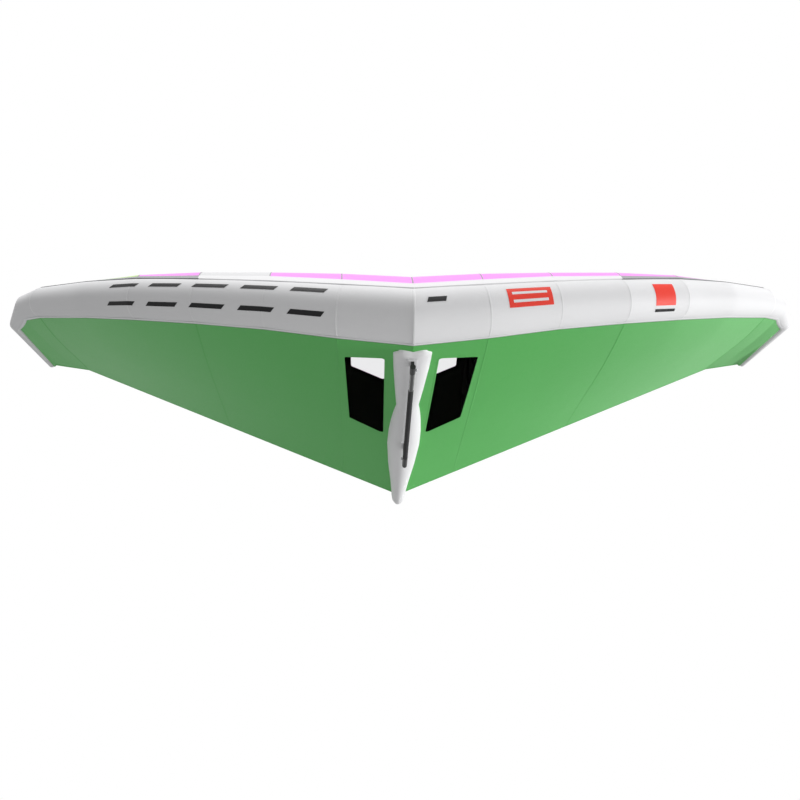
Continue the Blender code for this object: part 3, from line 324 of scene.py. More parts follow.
class Tone(Enum):
    """Colours of the wing's cloth, film and fittings, as linear light."""

    WHITE = (0.80, 0.80, 0.81)
    PEARL = (0.69, 0.69, 0.70)
    SHADE = (0.33, 0.34, 0.35)
    GREEN = (0.090, 0.455, 0.094)
    PINK = (0.98, 0.30, 0.93)
    LIME = (0.50, 0.76, 0.18)
    # Near black for the skins' insides, the ribs and their bindings: painted shade of the shut wing, not a cloth's own
    # colour.
    LINING = (0.002, 0.002, 0.002)
    BLACK = (0.012, 0.012, 0.013)
    RED = (0.85, 0.055, 0.035)
    GREY = (0.13, 0.13, 0.14)
    DARK = (0.022, 0.022, 0.025)
    FILM = (0.60, 0.60, 0.58)
    FOAM = (0.020, 0.020, 0.022)
    STEEL = (0.42, 0.42, 0.44)


class Graph:
    """Builds the nodes of a material or a world with short calls."""

    def __init__(self, owner: bpy.types.Material | bpy.types.World) -> None:
        """Start the nodes of a new material or world."""
        owner.use_nodes = True
        self.tree = owner.node_tree
        self.shader = self.tree.nodes.get("Principled BSDF")

    def node(self, kind: str, **settings: object) -> bpy.types.Node:
        """Add a node and set its properties."""
        made = self.tree.nodes.new(kind)
        for key, value in settings.items():
            setattr(made, key, value)
        return made

    def feed(self, socket: bpy.types.NodeSocket, value: object) -> None:
        """Link a socket to another, or set its value."""
        if isinstance(value, bpy.types.NodeSocket):
            self.tree.links.new(value, socket)
        elif isinstance(value, tuple) and socket.type == "RGBA":
            socket.default_value = (*value[:3], 1.0)
        else:
            socket.default_value = value

    def math(self, operation: str, first: object, second: object = 0.0,
             third: object = 0.0) -> bpy.types.NodeSocket:
        """A math node's result."""
        made = self.node("ShaderNodeMath", operation=operation)
        for socket, value in zip(made.inputs, (first, second, third)):
            self.feed(socket, value)
        return made.outputs[0]

    def blend(self, share: object, first: object, second: object) -> bpy.types.NodeSocket:
        """A colour between two others, by the mix node's sockets for colours."""
        made = self.node("ShaderNodeMix", data_type="RGBA")
        for number, value in ((0, share), (6, first), (7, second)):
            self.feed(made.inputs[number], value)
        return made.outputs[2]

    def split(self, vector: bpy.types.NodeSocket) -> Sequence[bpy.types.NodeSocket]:
        """A vector's three parts."""
        parts = self.node("ShaderNodeSeparateXYZ")
        self.feed(parts.inputs[0], vector)
        return parts.outputs[:]

    def position(self) -> bpy.types.NodeSocket:
        """The object's own coordinates."""
        return self.node("ShaderNodeTexCoord").outputs["Object"]

    def noise(self, scale: float, detail: float = 2.0) -> bpy.types.NodeSocket:
        """Smooth noise over the object's own coordinates."""
        made = self.node("ShaderNodeTexNoise")
        self.feed(made.inputs["Vector"], self.position())
        self.feed(made.inputs["Scale"], scale)
        self.feed(made.inputs["Detail"], detail)
        return made.outputs[0]

    def cut(self) -> Sequence[bpy.types.NodeSocket]:
        """Distances along and across the cut cloth, in metres."""
        return self.split(self.node("ShaderNodeUVMap", uv_map="cloth").outputs[0])[:2]

    def line(self, along: object, pitch: float, thickness: float) -> bpy.types.NodeSocket:
        """1 on thin lines at a pitch, 0 between them."""
        place = self.math("FRACT", self.math("DIVIDE", along, pitch))
        return self.math("LESS_THAN", place, thickness / pitch)

    def waves(self, along: object, pitch: float) -> bpy.types.NodeSocket:
        """A sine of a distance."""
        return self.math("SINE", self.math("MULTIPLY", along, 2 * math.pi / pitch))

    def attribute(self, name: str) -> bpy.types.NodeSocket:
        """A point attribute's value."""
        return self.node("ShaderNodeAttribute", attribute_name=name).outputs["Fac"]

    def bump(self, height: object, strength: float, distance: float) -> None:
        """Let a height shade the surface, over any bump that is there."""
        made = self.node("ShaderNodeBump")
        self.feed(made.inputs["Strength"], strength)
        self.feed(made.inputs["Distance"], distance)
        self.feed(made.inputs["Height"], height)
        normal = self.shader.inputs["Normal"]
        if normal.is_linked:
            self.feed(made.inputs["Normal"], normal.links[0].from_socket)
        self.feed(normal, made.outputs[0])

    def finish(self, colour: object, roughness: object, **sockets: object) -> None:
        """Set the material's shader."""
        self.feed(self.shader.inputs["Base Color"], colour)
        self.feed(self.shader.inputs["Roughness"], roughness)
        for name, value in sockets.items():
            self.feed(self.shader.inputs[name.replace("_", " ")], value)


@dataclass(frozen=True)
class Cloth:
    """A woven cloth with its grid of thicker threads, creases, dirt, a painted sheen or shade towards the tips and, on
    tapes, stitching.
    """

    tone: Tone
    grid: float = 0.006
    grain: float = 0.0012
    roughness: float = 0.58
    ripstop: float = 0.05
    soil: float = 0.04
    gloss: float = 0.30
    # fade is painted light towards the tips, not a faded dye: above 0 a paler painted sheen, below 0 a darker painted
    # shade.
    fade: float = 0.0
    painted_tip_light_from: float = 0.45
    crease: float = 0.5
    rows: tuple[float, ...] = ()
    pitch: float = 0.006
    thread: Tone | None = None
    grid_thread: float = 0.0007
    stitch_half_width: float = 0.00055
    stitch_share: float = 0.72

    def build(self, graph: Graph) -> None:
        """Build the cloth's nodes.

        Its colour changes by a power of the distance from the middle, which is painted light: a paler painted sheen
        where fade is above 0, a darker painted shade where it is below. Then it changes in blotches and where it is
        worn.

        Args:
            graph: The material's nodes.
        """
        u, v = graph.cut()
        colour = np.array(self.tone.value)
        grid = graph.math("MAXIMUM", *(graph.line(way, self.grid, self.grid_thread) for way in (u, v)))
        lighter, worn = np.clip(colour * 1.10 + 0.01, 0, 1), colour * 0.45 + 0.05
        made = graph.blend(graph.math("MULTIPLY", grid, self.ripstop * 6), tuple(colour), tuple(lighter))
        # Painted light: paler (painted sheen) or darker (painted shade) by a power of the distance from the middle.
        if self.fade:
            aside = graph.math("ABSOLUTE", graph.split(graph.position())[0])
            past = graph.math("MAXIMUM", graph.math("SUBTRACT", aside, self.painted_tip_light_from), 0.0)
            share = graph.math("POWER", graph.math("MINIMUM", past, 1.0), 1.5)
            made = graph.blend(share, made, tuple(colour + self.fade))
        made = graph.blend(graph.math("MULTIPLY", graph.noise(1.7, 3.0), 0.32), made, tuple(colour * 0.90))
        wear = graph.math("MULTIPLY", graph.attribute("wear"), graph.noise(38.0, 4.0))
        made = graph.blend(graph.math("MULTIPLY", wear, self.soil), made, tuple(worn))
        weave = graph.math("MULTIPLY", graph.waves(u, self.grain), graph.waves(v, self.grain))
        graph.bump(weave, 0.16, 0.00025)
        graph.bump(grid, 0.22, 0.0003)
        graph.bump(graph.noise(14.0, 3.0), 0.10 * self.crease, 0.010)
        if self.rows:
            made = self.stitch(graph, u, v, made)
        roughness = graph.math("MULTIPLY_ADD", graph.noise(60.0, 2.0), 0.10, self.roughness - 0.05)
        graph.finish(made, roughness, Specular_IOR_Level=self.gloss)

    def stitch(self, graph: Graph, u: object, v: object, colour: object) -> bpy.types.NodeSocket:
        """Threads in dashes along the rows of a tape."""
        mask: object = 0.0
        for row in self.rows:
            aside = graph.math("ABSOLUTE", graph.math("SUBTRACT", v, row))
            here = graph.math("MULTIPLY", graph.math("LESS_THAN", aside, self.stitch_half_width),
                              graph.line(u, self.pitch, self.pitch * self.stitch_share))
            mask = graph.math("MAXIMUM", mask, here)
        graph.bump(mask, 0.2, 0.0003)
        return graph.blend(mask, colour, (self.thread or self.tone).value)


@dataclass(frozen=True)
class Moulded:
    """Plastic, metal, film or foam, with its fine texture on the object's own coordinates."""

    tone: Tone
    roughness: float
    metallic: float = 0.0
    texture: float = 900.0
    strength: float = 0.06
    coat: float = 0.0
    scuffs: float = 0.15

    def build(self, graph: Graph) -> None:
        """Build the nodes.

        Args:
            graph: The material's nodes.
        """
        colour = np.array(self.tone.value)
        scuff = graph.math("GREATER_THAN", graph.noise(90.0, 6.0), 0.66)
        made = graph.blend(graph.math("MULTIPLY", scuff, self.scuffs), tuple(colour),
                           tuple(np.clip(colour * 1.5 + 0.03, 0, 1)))
        made = graph.blend(graph.math("MULTIPLY", graph.noise(6.0, 2.0), 0.25), made, tuple(colour * 0.8))
        graph.bump(graph.noise(self.texture, 2.0), self.strength, 0.0004)
        roughness = graph.math("MULTIPLY_ADD", graph.noise(45.0, 3.0), 0.14, self.roughness - 0.07)
        graph.finish(made, roughness, Metallic=self.metallic, Coat_Weight=self.coat)


@dataclass(frozen=True)
class Film:
    """Clear window film, with fine scratches and a slight haze where it was folded."""

    tint: tuple[float, float, float] = (0.83, 0.83, 0.84)
    haze: float = 0.04
    coat: float = 0.015

    def build(self, graph: Graph) -> None:
        """Build the film's nodes.

        Args:
            graph: The material's nodes.
        """
        haze = graph.math("MULTIPLY", graph.noise(3.0, 4.0), self.haze)
        graph.bump(graph.noise(18.0, 3.0), 0.04, 0.003)
        graph.bump(graph.noise(700.0, 1.0), 0.02, 0.0002)
        graph.finish(self.tint, graph.math("ADD", haze, 0.01), Transmission_Weight=1.0, IOR=1.0,
                     Coat_Weight=self.coat)


# The sleeve's fade of -0.08 is painted shade: the white tube is drawn darker towards its tips. The prints leave it
# out.
SLEEVE = Cloth(Tone.WHITE, grid=0.010, grain=0.0018, roughness=0.62, ripstop=0.02, soil=0.03, fade=-0.08, crease=0.8)
PRINT = replace(SLEEVE, roughness=0.5, fade=0.0)
BINDING = Cloth(Tone.PINK, rows=(-0.002, 0.002), pitch=0.004, roughness=0.6, soil=0.02)
FILM = Moulded(Tone.FILM, 0.32, texture=400.0, strength=0.05, scuffs=0.05)


@unique
class Finish(Enum):
    """Every finish: the record's slot that it goes with, and how it is made."""

    SLEEVE_CLOTH = ("sleeve_cloth", SLEEVE)
    SLEEVE_SEAM = ("sleeve_cloth", Cloth(Tone.WHITE, rows=(-0.0022, 0.0022), pitch=0.0042, roughness=0.62, soil=0.02))
    NOSE_SEAM = ("sleeve_cloth", Cloth(Tone.WHITE, rows=(-0.0026, 0.0026), pitch=0.0045, soil=0.02))
    BORDER_WELT = ("sleeve_cloth", Cloth(Tone.WHITE, rows=(0.0042,), pitch=0.005, thread=Tone.SHADE, soil=0.02))
    BORDER_PIPING_INNER = ("sleeve_cloth", Cloth(Tone.WHITE, grid=0.004, grain=0.001))
    BORDER_PIPING_OUTER = ("sleeve_cloth", Cloth(Tone.GREY, grid=0.004, grain=0.001))
    PRINT_BLACK = ("sleeve_cloth", replace(PRINT, tone=Tone.BLACK))
    PRINT_RED = ("sleeve_cloth", replace(PRINT, tone=Tone.RED))
    PRINT_WHITE = ("sleeve_cloth", PRINT)
    # The green's fade of 0.1 is a painted sheen: the underside is drawn paler towards the tips, as grazing gloss would
    # look.
    CANOPY_GREEN = ("skin_green", Cloth(Tone.GREEN, fade=0.1))
    CANOPY_PINK = ("skin_pink", Cloth(Tone.PINK))
    CANOPY_LIME = ("skin_lime", Cloth(Tone.LIME))
    CANOPY_PEARL = ("skin_white", Cloth(Tone.PEARL))
    CANOPY_WHITE = ("sleeve_cloth", Cloth(Tone.WHITE))
    CANOPY_SHADE = ("sleeve_cloth", Cloth(Tone.SHADE))
    # The insides and ribs: near-black painted shade, without gloss.
    CANOPY_LINING = ("rib_cloth", Cloth(Tone.LINING, roughness=0.9, soil=0.0, gloss=0.0))
    TAPE_GREY = ("sleeve_cloth", Cloth(Tone.SHADE, rows=(-0.002, 0.002), pitch=0.0042))
    TAPE_GREEN = ("skin_green", Cloth(Tone.GREEN, rows=(-0.002, 0.002), pitch=0.0042, soil=0.02))
    HEM_UPPER = ("sleeve_cloth", Cloth(Tone.SHADE, rows=(0.0045,), pitch=0.0045))
    HEM_LOWER = ("skin_green", Cloth(Tone.GREEN, rows=(0.0045,), pitch=0.0045))
    WINDOW_FILM = ("window_film", Film())
    WINDOW_BINDING_PINK = ("skin_pink", BINDING)
    WINDOW_BINDING_GREEN = ("skin_green", replace(BINDING, tone=Tone.GREEN))
    # The ribs' hole bindings in the same near-black painted shade.
    RIB_BINDING = ("rib_cloth", Cloth(Tone.LINING, rows=(0.0,), pitch=0.004, gloss=0.0, soil=0.0))
    STRUT_SEAM = ("sleeve_cloth", Cloth(Tone.WHITE, rows=(-0.0018, 0.0018), pitch=0.0042, soil=0.02))
    PAD_CLOTH = ("sleeve_cloth", Cloth(Tone.WHITE, grid=0.003, grain=0.0015, ripstop=0.04))
    BLADDER_FILM = ("bladder_film", FILM)
    HOSE_FILM = ("bladder_film", replace(FILM, roughness=0.35, texture=500.0))
    HOSE_CLIP_PLASTIC = ("valve_plastic", Moulded(Tone.BLACK, 0.45))
    BOOM_FOAM = ("boom_foam", Moulded(Tone.FOAM, 0.85, texture=1400.0, strength=0.25, scuffs=0.1))
    BOOM_METAL = ("boom_metal", Moulded(Tone.DARK, 0.16, texture=260.0, strength=0.02, coat=0.2, scuffs=0.05))
    COLLAR_PLASTIC = ("mount_plastic", Moulded(Tone.BLACK, 0.4))
    MOUNT_PLASTIC = ("mount_plastic", Moulded(Tone.BLACK, 0.45, texture=1200.0, strength=0.12))
    PIN_STEEL = ("pin_metal", Moulded(Tone.STEEL, 0.28, metallic=1.0, texture=600.0, strength=0.03))
    VALVE_PATCH = ("sleeve_cloth", Cloth(Tone.SHADE, rows=(0.0,), pitch=0.004))
    VALVE_PLASTIC = ("valve_plastic", Moulded(Tone.GREY, 0.35, strength=0.05))
    CHECK_RUBBER = ("valve_plastic", Moulded(Tone.BLACK, 0.6))
    ZIP_TAPE = ("zip_tape", Cloth(Tone.BLACK, grid=0.0022, grain=0.0009, soil=0.05))
    ZIP_PLASTIC = ("zip_plastic", Moulded(Tone.GREY, 0.4))

    @property
    def slot(self) -> str:
        """The record's material slot."""
        return self.value[0]

    @cache
    def material(self) -> bpy.types.Material:
        """The material, made once, with the finish's name."""
        made = bpy.data.materials.new(self.name.lower())
        self.value[1].build(Graph(made))
        return made


# Meshes

@dataclass
class Shape:
    """Points and faces of a piece in the wing's own frame, with the cloth's cut and its wear."""

    points: Array
    faces: Faces
    cut: Array | None = None
    wear: Array | None = None

    def turned(self) -> Shape:
        """The shape with its faces the other way round."""
        return replace(self, faces=[face[::-1] for face in self.faces])

    def mirrored(self, side: Side) -> Shape:
        """The shape for one half: as it is for the right, its mirror image for the left."""
        return self if side is Side.RIGHT else replace(self.turned(), points=self.points * MIRROR)

    def joined(self, other: Shape) -> Shape:
        """Both shapes as one."""
        base = len(self.points)
        faces = self.faces + [tuple(corner + base for corner in face) for face in other.faces]
        return Shape(np.concatenate([self.points, other.points]), faces, np.concatenate([self.cut, other.cut]),
                     np.concatenate([self.wear, other.wear]))

    def facing(self, away: Callable[[Array], Array]) -> Shape:
        """The shape with its faces outwards: their normals times directions away add up to more than 0.

        Args:
            away: Gives directions away from the piece at the middles of its faces.

        Returns:
            The shape, turned if it has to be.
        """
        corners = np.array([face[:3] for face in self.faces])
        a, b, c = (self.points[corners[:, number]] for number in range(3))
        outwards = (np.cross(b - a, c - a) * away((a + b + c) / 3)).sum()
        return self.turned() if outwards < 0 else self

    def area(self) -> float:
        """Area of the faces: half of each cross product of a quad's diagonals or a triangle's sides."""
        total = 0.0
        for count, (a, b, c, d) in ((4, (0, 2, 1, 3)), (3, (0, 1, 0, 2))):
            faces = np.array([face for face in self.faces if len(face) == count])
            if len(faces):
                corners = self.points[faces]
                total += np.linalg.norm(np.cross(corners[:, b] - corners[:, a], corners[:, d] - corners[:, c]),
                                        axis=1).sum() / 2
        return float(total)


def as_faces(corners: Array) -> Faces:
    """Faces from rows of corners."""
    return [tuple(row) for row in corners.tolist()]


def grid_faces(rows: int, columns: int, turned: bool = False, wrap: bool = False) -> Faces:
    """Quads of a grid of points.

    Args:
        rows: Rows of points.
        columns: Points in a row.
        turned: Whether the faces look the other way.
        wrap: Whether each row closes on itself.

    Returns:
        The faces.
    """
    first = np.arange(rows - 1)[:, None] * columns
    step = np.arange(columns if wrap else columns - 1)[None, :]
    ahead = (step + 1) % columns
    quads = np.stack([first + step, first + columns + step, first + columns + ahead, first + ahead], axis=-1)
    quads = quads.reshape(-1, 4)
    return as_faces(quads[:, ::-1] if turned else quads)


def run_lengths(grid: Array, axis: int) -> Array:
    """Distances along one axis of a grid of points, from its start."""
    steps = np.linalg.norm(np.diff(grid, axis=axis), axis=-1)
    pad = [(0, 0), (0, 0)]
    pad[axis] = (1, 0)
    return np.pad(np.cumsum(steps, axis=axis), pad)


def grid_shape(grid: Array, turned: bool = False, edge_wear: float = 0.03) -> Shape:
    """A sheet from a grid of points, with its cut in metres and its wear near the edges."""
    rows, columns = grid.shape[:2]
    across, along = run_lengths(grid, 0), run_lengths(grid, 1)
    middle = across.mean(axis=1, keepdims=True) + np.zeros_like(across)
    cut = np.stack([along, middle], axis=-1)
    edge = np.minimum(np.minimum(across, across[-1:] - across), np.minimum(along, along[:, -1:] - along))
    wear = np.exp(-edge / edge_wear)
    return Shape(grid.reshape(-1, 3), grid_faces(rows, columns, turned), cut.reshape(-1, 2), wear.reshape(-1))


def tube_shape(rings: Array, ends: Faces, wear: float = 0.0) -> Shape:
    """A hollow piece from closed rings of points and the faces that shut its ends; its cut is unrolled."""
    cut = np.stack([run_lengths(rings, 0), run_lengths(rings, 1)], axis=-1).reshape(-1, 2)
    faces = grid_faces(*rings.shape[:2], wrap=True) + ends
    return Shape(rings.reshape(-1, 3), faces, cut, np.full(len(cut), wear))


def add_object(name: str, data: bpy.types.ID) -> bpy.types.Object:
    """A new object in the scene."""
    made = bpy.data.objects.new(name, data)
    bpy.context.scene.collection.objects.link(made)
    return made


def write_layer(layer: bpy.types.bpy_prop_collection, key: str, values: Array) -> None:
    """Write an array into a mesh's layer."""
    layer.foreach_set(key, values.ravel())


@dataclass
class Workshop:
    """Makes the pieces, gives them their finish and hands them to the frame."""

    names: list[str] = field(default_factory=list)
    full_share: float = 0.4
    loose_share: float = 0.9

    def piece(self, name: str, shape: Shape, finish: Finish, side: Side | None = None, stands_for: str = "",
              rests_on: str = "", lining: Finish | None = None,
              thickness: float = 0.0) -> bpy.types.Object:
        """Make one named piece, which rides on the wing.

        Args:
            name: The piece's name.
            shape: Its points and faces, in the wing's own frame.
            finish: Its finish.
            side: The half that it is for, where each has one; its word is added to the name and to stands_for.
            stands_for: The frame's node that it replaces.
            rests_on: For a cloth sheet, the piece that it lies on.
            lining: The finish of its inside, for a cloth with thickness.
            thickness: The cloth's thickness, inwards.

        Returns:
            The object.
        """
        word = f"_{side.word}" if side else ""
        name, shape = name + word, shape.mirrored(side or Side.RIGHT)
        mesh = bpy.data.meshes.new(name)
        mesh.from_pydata((shape.points + np.array(FORM.place)).tolist(), [], shape.faces)
        if shape.cut is not None:
            corners = np.zeros(len(mesh.loops), dtype=np.int32)
            mesh.loops.foreach_get("vertex_index", corners)
            write_layer(mesh.uv_layers.new(name="cloth").data, "uv", shape.cut[corners].astype(np.float32))
        if shape.wear is not None:
            wear = mesh.attributes.new("wear", "FLOAT", "POINT")
            write_layer(wear.data, "value", shape.wear.astype(np.float32))
        mesh.shade_smooth()
        mesh.materials.append(finish.material())
        made = add_object(name, mesh)
        if thickness:
            edges = np.zeros(len(mesh.loops), dtype=np.int32)
            mesh.loops.foreach_get("edge_index", edges)
            border = np.bincount(edges, minlength=len(mesh.edges)) == 1
            write_layer(mesh.attributes.new("sharp_edge", "BOOLEAN", "EDGE").data, "value", border)
            # Inside faces get their own finish; where it is used, that is near-black painted shade.
            mesh.materials.append((lining or finish).material())
            solid = made.modifiers.new("cloth", "SOLIDIFY")
            solid.thickness = thickness
            solid.offset = -1.0
            solid.use_even_offset = False
            solid.material_offset = 1
        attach(made, "wing")
        if stands_for:
            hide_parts(stands_for + word)
        if rests_on:
            self.declare_sheet(shape)
        self.names.append(name)
        return made

    def declare_sheet(self, shape: Shape) -> None:
        """Work out a cloth sheet's width and length from its cut, narrower where the area says so; nothing is done
        with them.
        """
        width, length = sorted(np.ptp(shape.cut, axis=0).tolist())
        area = shape.area()
        if not self.full_share * width * length <= area <= width * length:
            width = area / length / self.loose_share


SHOP = Workshop()


# Ribbons and cords along paths: seams, welts, hems, bindings and the hose

DOME = ((-1.0, -0.25), (-0.93, 0.7), (-0.5, 0.95), (0.0, 1.0), (0.5, 0.95), (0.93, 0.7), (1.0, -0.25))
BAND_WEAR = 0.35
CORD_WEAR = 0.3


def directions(path: Array, closed: bool = False) -> Array:
    """Unit directions along a path."""
    return unit(np.roll(path, -1, axis=0) - np.roll(path, 1, axis=0) if closed else np.gradient(path, axis=0))


def circle(steps: int) -> Array:
    """Angles round a circle."""
    return np.linspace(0.0, 2 * math.pi, steps, endpoint=False)


def ribbon(path: Array, normals: Array, half_width: float, height: float, lift: float = 0.0,
           closed: bool = False) -> Shape:
    """A low band along a path, domed over its width.

    Args:
        path: Points along the band's middle.
        normals: Directions away from the surface that it lies on.
        half_width: Half the band's width.
        height: How far its middle stands above the path.
        lift: Height of its edges over the path.
        closed: Whether the path closes on itself.

    Returns:
        The band's shape, its cut running along the path.
    """
    sideways = unit(np.cross(directions(path, closed), normals))
    rows = np.stack([path + sideways * half_width * aside + normals * (lift + height * rise)
                     for aside, rise in DOME], axis=1)
    if closed:
        rows = np.concatenate([rows, rows[:1]])
    along = run_lengths(rows, 0).mean(axis=1, keepdims=True) + np.zeros(rows.shape[:2])
    across = np.broadcast_to(np.array([half_width * aside for aside, _ in DOME]), rows.shape[:2])
    cut = np.stack([along, across], axis=-1).reshape(-1, 2)
    return Shape(rows.reshape(-1, 3), grid_faces(*rows.shape[:2]), cut, np.full(len(cut), BAND_WEAR))


def cord_shape(path: Array, radius: float, sides: int = 10) -> Shape:
    """A round cord or tube along a path, shut at its ends."""
    tangents = directions(path)
    hint = np.where(np.abs(tangents[:, 2:]) > 0.9, np.array([1.0, 0.0, 0.0]), UP)
    first = unit(np.cross(tangents, hint))
    second = np.cross(first, tangents)
    angles = circle(sides)
    rings = path[:, None] + radius * (np.cos(angles)[None, :, None] * first[:, None]
                                      + np.sin(angles)[None, :, None] * second[:, None])
    last = (len(rings) - 1) * sides
    shape = tube_shape(rings, [tuple(range(sides))[::-1], tuple(range(last, last + sides))], CORD_WEAR)
    along = run_lengths(rings, 0)
    return replace(shape, cut=np.stack([along, np.broadcast_to(angles * radius, along.shape)], axis=-1).reshape(-1, 2))


# Leading edge

VALVE_STATION, VALVE_DEGREES = 1.45, 97.5


@dataclass(frozen=True)
class Run:
    """One sewn length of the wing, from one station to another."""

    label: str
    first: int
    last: int

    def places(self, spacing: float = 0.014, fewest: int = 18) -> tuple[Array, Array]:
        """Places along the tube, close together at the run's ends, and their distances from its start."""
        steps = np.linalg.norm(np.diff(CURVES.centres[self.first:self.last + 1], axis=0), axis=1)
        knots = np.concatenate([[0.0], np.cumsum(steps)])
        ends = (1 - np.cos(np.linspace(0, math.pi, max(fewest, int(knots[-1] / spacing))))) / 2
        along = knots[-1] * ends
        return np.interp(along, knots, np.arange(self.first, self.last + 1)), along

    def even_places(self, steps: int = 14) -> Array:
        """Places along the run, evenly between its stations."""
        return np.linspace(self.first, self.last, (self.last - self.first) * steps + 1)


def runs(**ends: int) -> tuple[Run, ...]:
    """Sewn lengths by their names and last stations, each from where the one before it ends."""
    return tuple(Run(label, first, last) for (label, last), first in zip(ends.items(), (0, *ends.values())))


@dataclass(frozen=True)
class Print:
    """Plain printed blocks on the sleeve: where each starts and ends, and its lowest and highest angle."""

    name: str
    side: Side
    tone: Tone
    blocks: tuple[tuple[float, float, float, float], ...]
    slant: float = 0.0
    steps: tuple[int, int] = (26, 12)

    def shape(self, lift: Callable[[Array], Array]) -> Shape:
        """Patches of the tube's surface, a little over the sleeve.

        Args:
            lift: Height over the tube at places along it.

        Returns:
            The blocks as one shape.
        """
        parts: list[Shape] = []
        for first, last, low, high in self.blocks:
            s, rise = np.meshgrid(np.linspace(first, last, self.steps[0]), np.linspace(0.0, 1.0, self.steps[1]),
                                  indexing="ij")
            s = s + self.slant * rise
            parts.append(grid_shape(tube(s, low + (high - low) * rise, lift(s))))
        return reduce(Shape.joined, parts)


@dataclass(frozen=True)
class LeadingEdge:
    """The inflated tube: its sewn sleeve, seams, borders, printed blocks and the bladder inside."""

    runs: tuple[Run, ...] = runs(inner=1, second=2, third=3, fourth=4, outer=6, tip=9)
    sides: int = 180
    tip_sides: int = 120
    seam_half_width: float = 0.0042
    seam_height: float = 0.00025
    seam_steps: int = 160
    gather: float = 0.00025
    fullness: float = 0.0010
    valve_flat: float = 0.0032
    valve_reach: float = 0.045
    welt_half_width: float = 0.0080
    welt_height: float = 0.0010
    welt_lift: float = 0.0009
    piping_radius: float = 0.0019
    piping_ahead: float = 0.0035
    piping_lift: float = 0.0015
    white_until: float = 3.0
    border_end: float = 8.8
    bladder_end: float = 8.0
    bladder_sides: int = 64
    bladder_gap: float = 0.0035
    bladder_tip_gap: float = 0.0070
    weld_half_width: float = 0.006
    weld_height: float = 0.0005
    dashes: int = 5
    dash_pitch: float = 0.68
    dash_rows: tuple[float, float] = (-37.0, 14.0)
    dash_height: float = 11.0
    print_lift: float = 0.0009
    stripe_lift: float = 0.0002

    def swell(self, s: Array) -> Array:
        """The sleeve's fullness over the plain tube: a low hump, sin(pi x share), between the ends of each run."""
        total = np.zeros_like(s)
        for run in self.runs:
            share = np.clip((s - run.first) / (run.last - run.first), 0, 1)
            total = np.maximum(total, np.sin(np.pi * share))
        return self.fullness * total

    def gathers(self, distance: Array, around: Array) -> Array:
        """Small gathers at a seam: two sines round the tube that die out away from the seam, and a groove."""
        waves = np.sin(around / 0.011) * 0.6 + np.sin(around / 0.0067 + 1.3) * 0.4
        return self.gather * (waves * np.exp(-distance / 0.018) - 1.2 * np.exp(-(distance / 0.007) ** 2))

    def sleeve(self, run: Run, valve: bool) -> Shape:
        """A run of the sleeve: a rolled panel, its long seam at the back inside the skins.

        Args:
            run: The sewn length.
            valve: Whether it lies flat round the valve.

        Returns:
            The panel's shape.
        """
        s, along = run.places()
        sides = self.sides if run.last < FORM.last() else self.tip_sides
        s_grid, degrees = np.meshgrid(s, np.linspace(180.0, -180.0, sides + 1), indexing="ij")
        around = np.radians(degrees) * at_stations(s_grid, CURVES.radii)
        distance = np.minimum(along, along[-1] - along)[:, None] + np.zeros_like(around)
        lift = self.gathers(distance, around) + self.swell(s_grid)
        if valve:
            away = np.linalg.norm(tube(s_grid, degrees) - tube(VALVE_STATION, VALVE_DEGREES), axis=-1)
            lift = lift - self.valve_flat * np.exp(-(away / self.valve_reach) ** 4)
        return grid_shape(tube(s_grid, degrees, lift), turned=True)

    def ring(self, s: float) -> tuple[Array, Array]:
        """A closed path round the tube, and the directions away from it."""
        path = tube(s, np.linspace(-180.0, 180.0, self.seam_steps, endpoint=False))
        return path, unit(path - path.mean(axis=0))

    def make_sleeves(self, side: Side) -> None:
        """The sleeve's panels and the flat seams between them."""
        for run in self.runs:
            SHOP.piece(f"sleeve_{run.label}", self.sleeve(run, run.label == "second" and side is Side.RIGHT),
                       Finish.SLEEVE_CLOTH, side, f"leading_edge_{run.label}", "bladder_leading_edge")
        for run in self.runs[1:]:
            band = ribbon(*self.ring(run.first), self.seam_half_width, self.seam_height, closed=True)
            SHOP.piece(f"sleeve_seam_{run.label}", band, Finish.SLEEVE_SEAM, side)

    def make_nose_seam(self) -> None:
        """The seam where the two halves of the tube meet at the nose, a little wider and higher."""
        path, away = self.ring(0.0)
        band = ribbon(path, unit(away * UPRIGHT), self.seam_half_width * 1.3, self.seam_height * 1.6, closed=True)
        SHOP.piece("sleeve_seam_nose", band, Finish.NOSE_SEAM)

    def make_borders(self, side: Side) -> None:
        """Where the skins are sewn to the tube: a white tape below, a piping above that is dark further out."""
        s = span_places(240, self.border_end, 90)
        radius = at_stations(s, CURVES.radii)
        low = -at_stations(s, FORM.border_angles)
        path = tube(s, low + np.degrees(self.welt_half_width * 1.05 / radius), 0.0004)
        welt = ribbon(path, unit(path - tube(s, low, -radius)), self.welt_half_width, self.welt_height, self.welt_lift)
        SHOP.piece("border_welt", welt, Finish.BORDER_WELT, side)
        path = tube(s, at_stations(s, FORM.seam_angles) - np.degrees(self.piping_ahead / radius), self.piping_lift)
        for word, part, finish in (("inner", s <= self.white_until, Finish.BORDER_PIPING_INNER),
                                   ("outer", s >= self.white_until - 0.02, Finish.BORDER_PIPING_OUTER)):
            SHOP.piece(f"border_piping_{word}", cord_shape(path[part], self.piping_radius), finish, side)

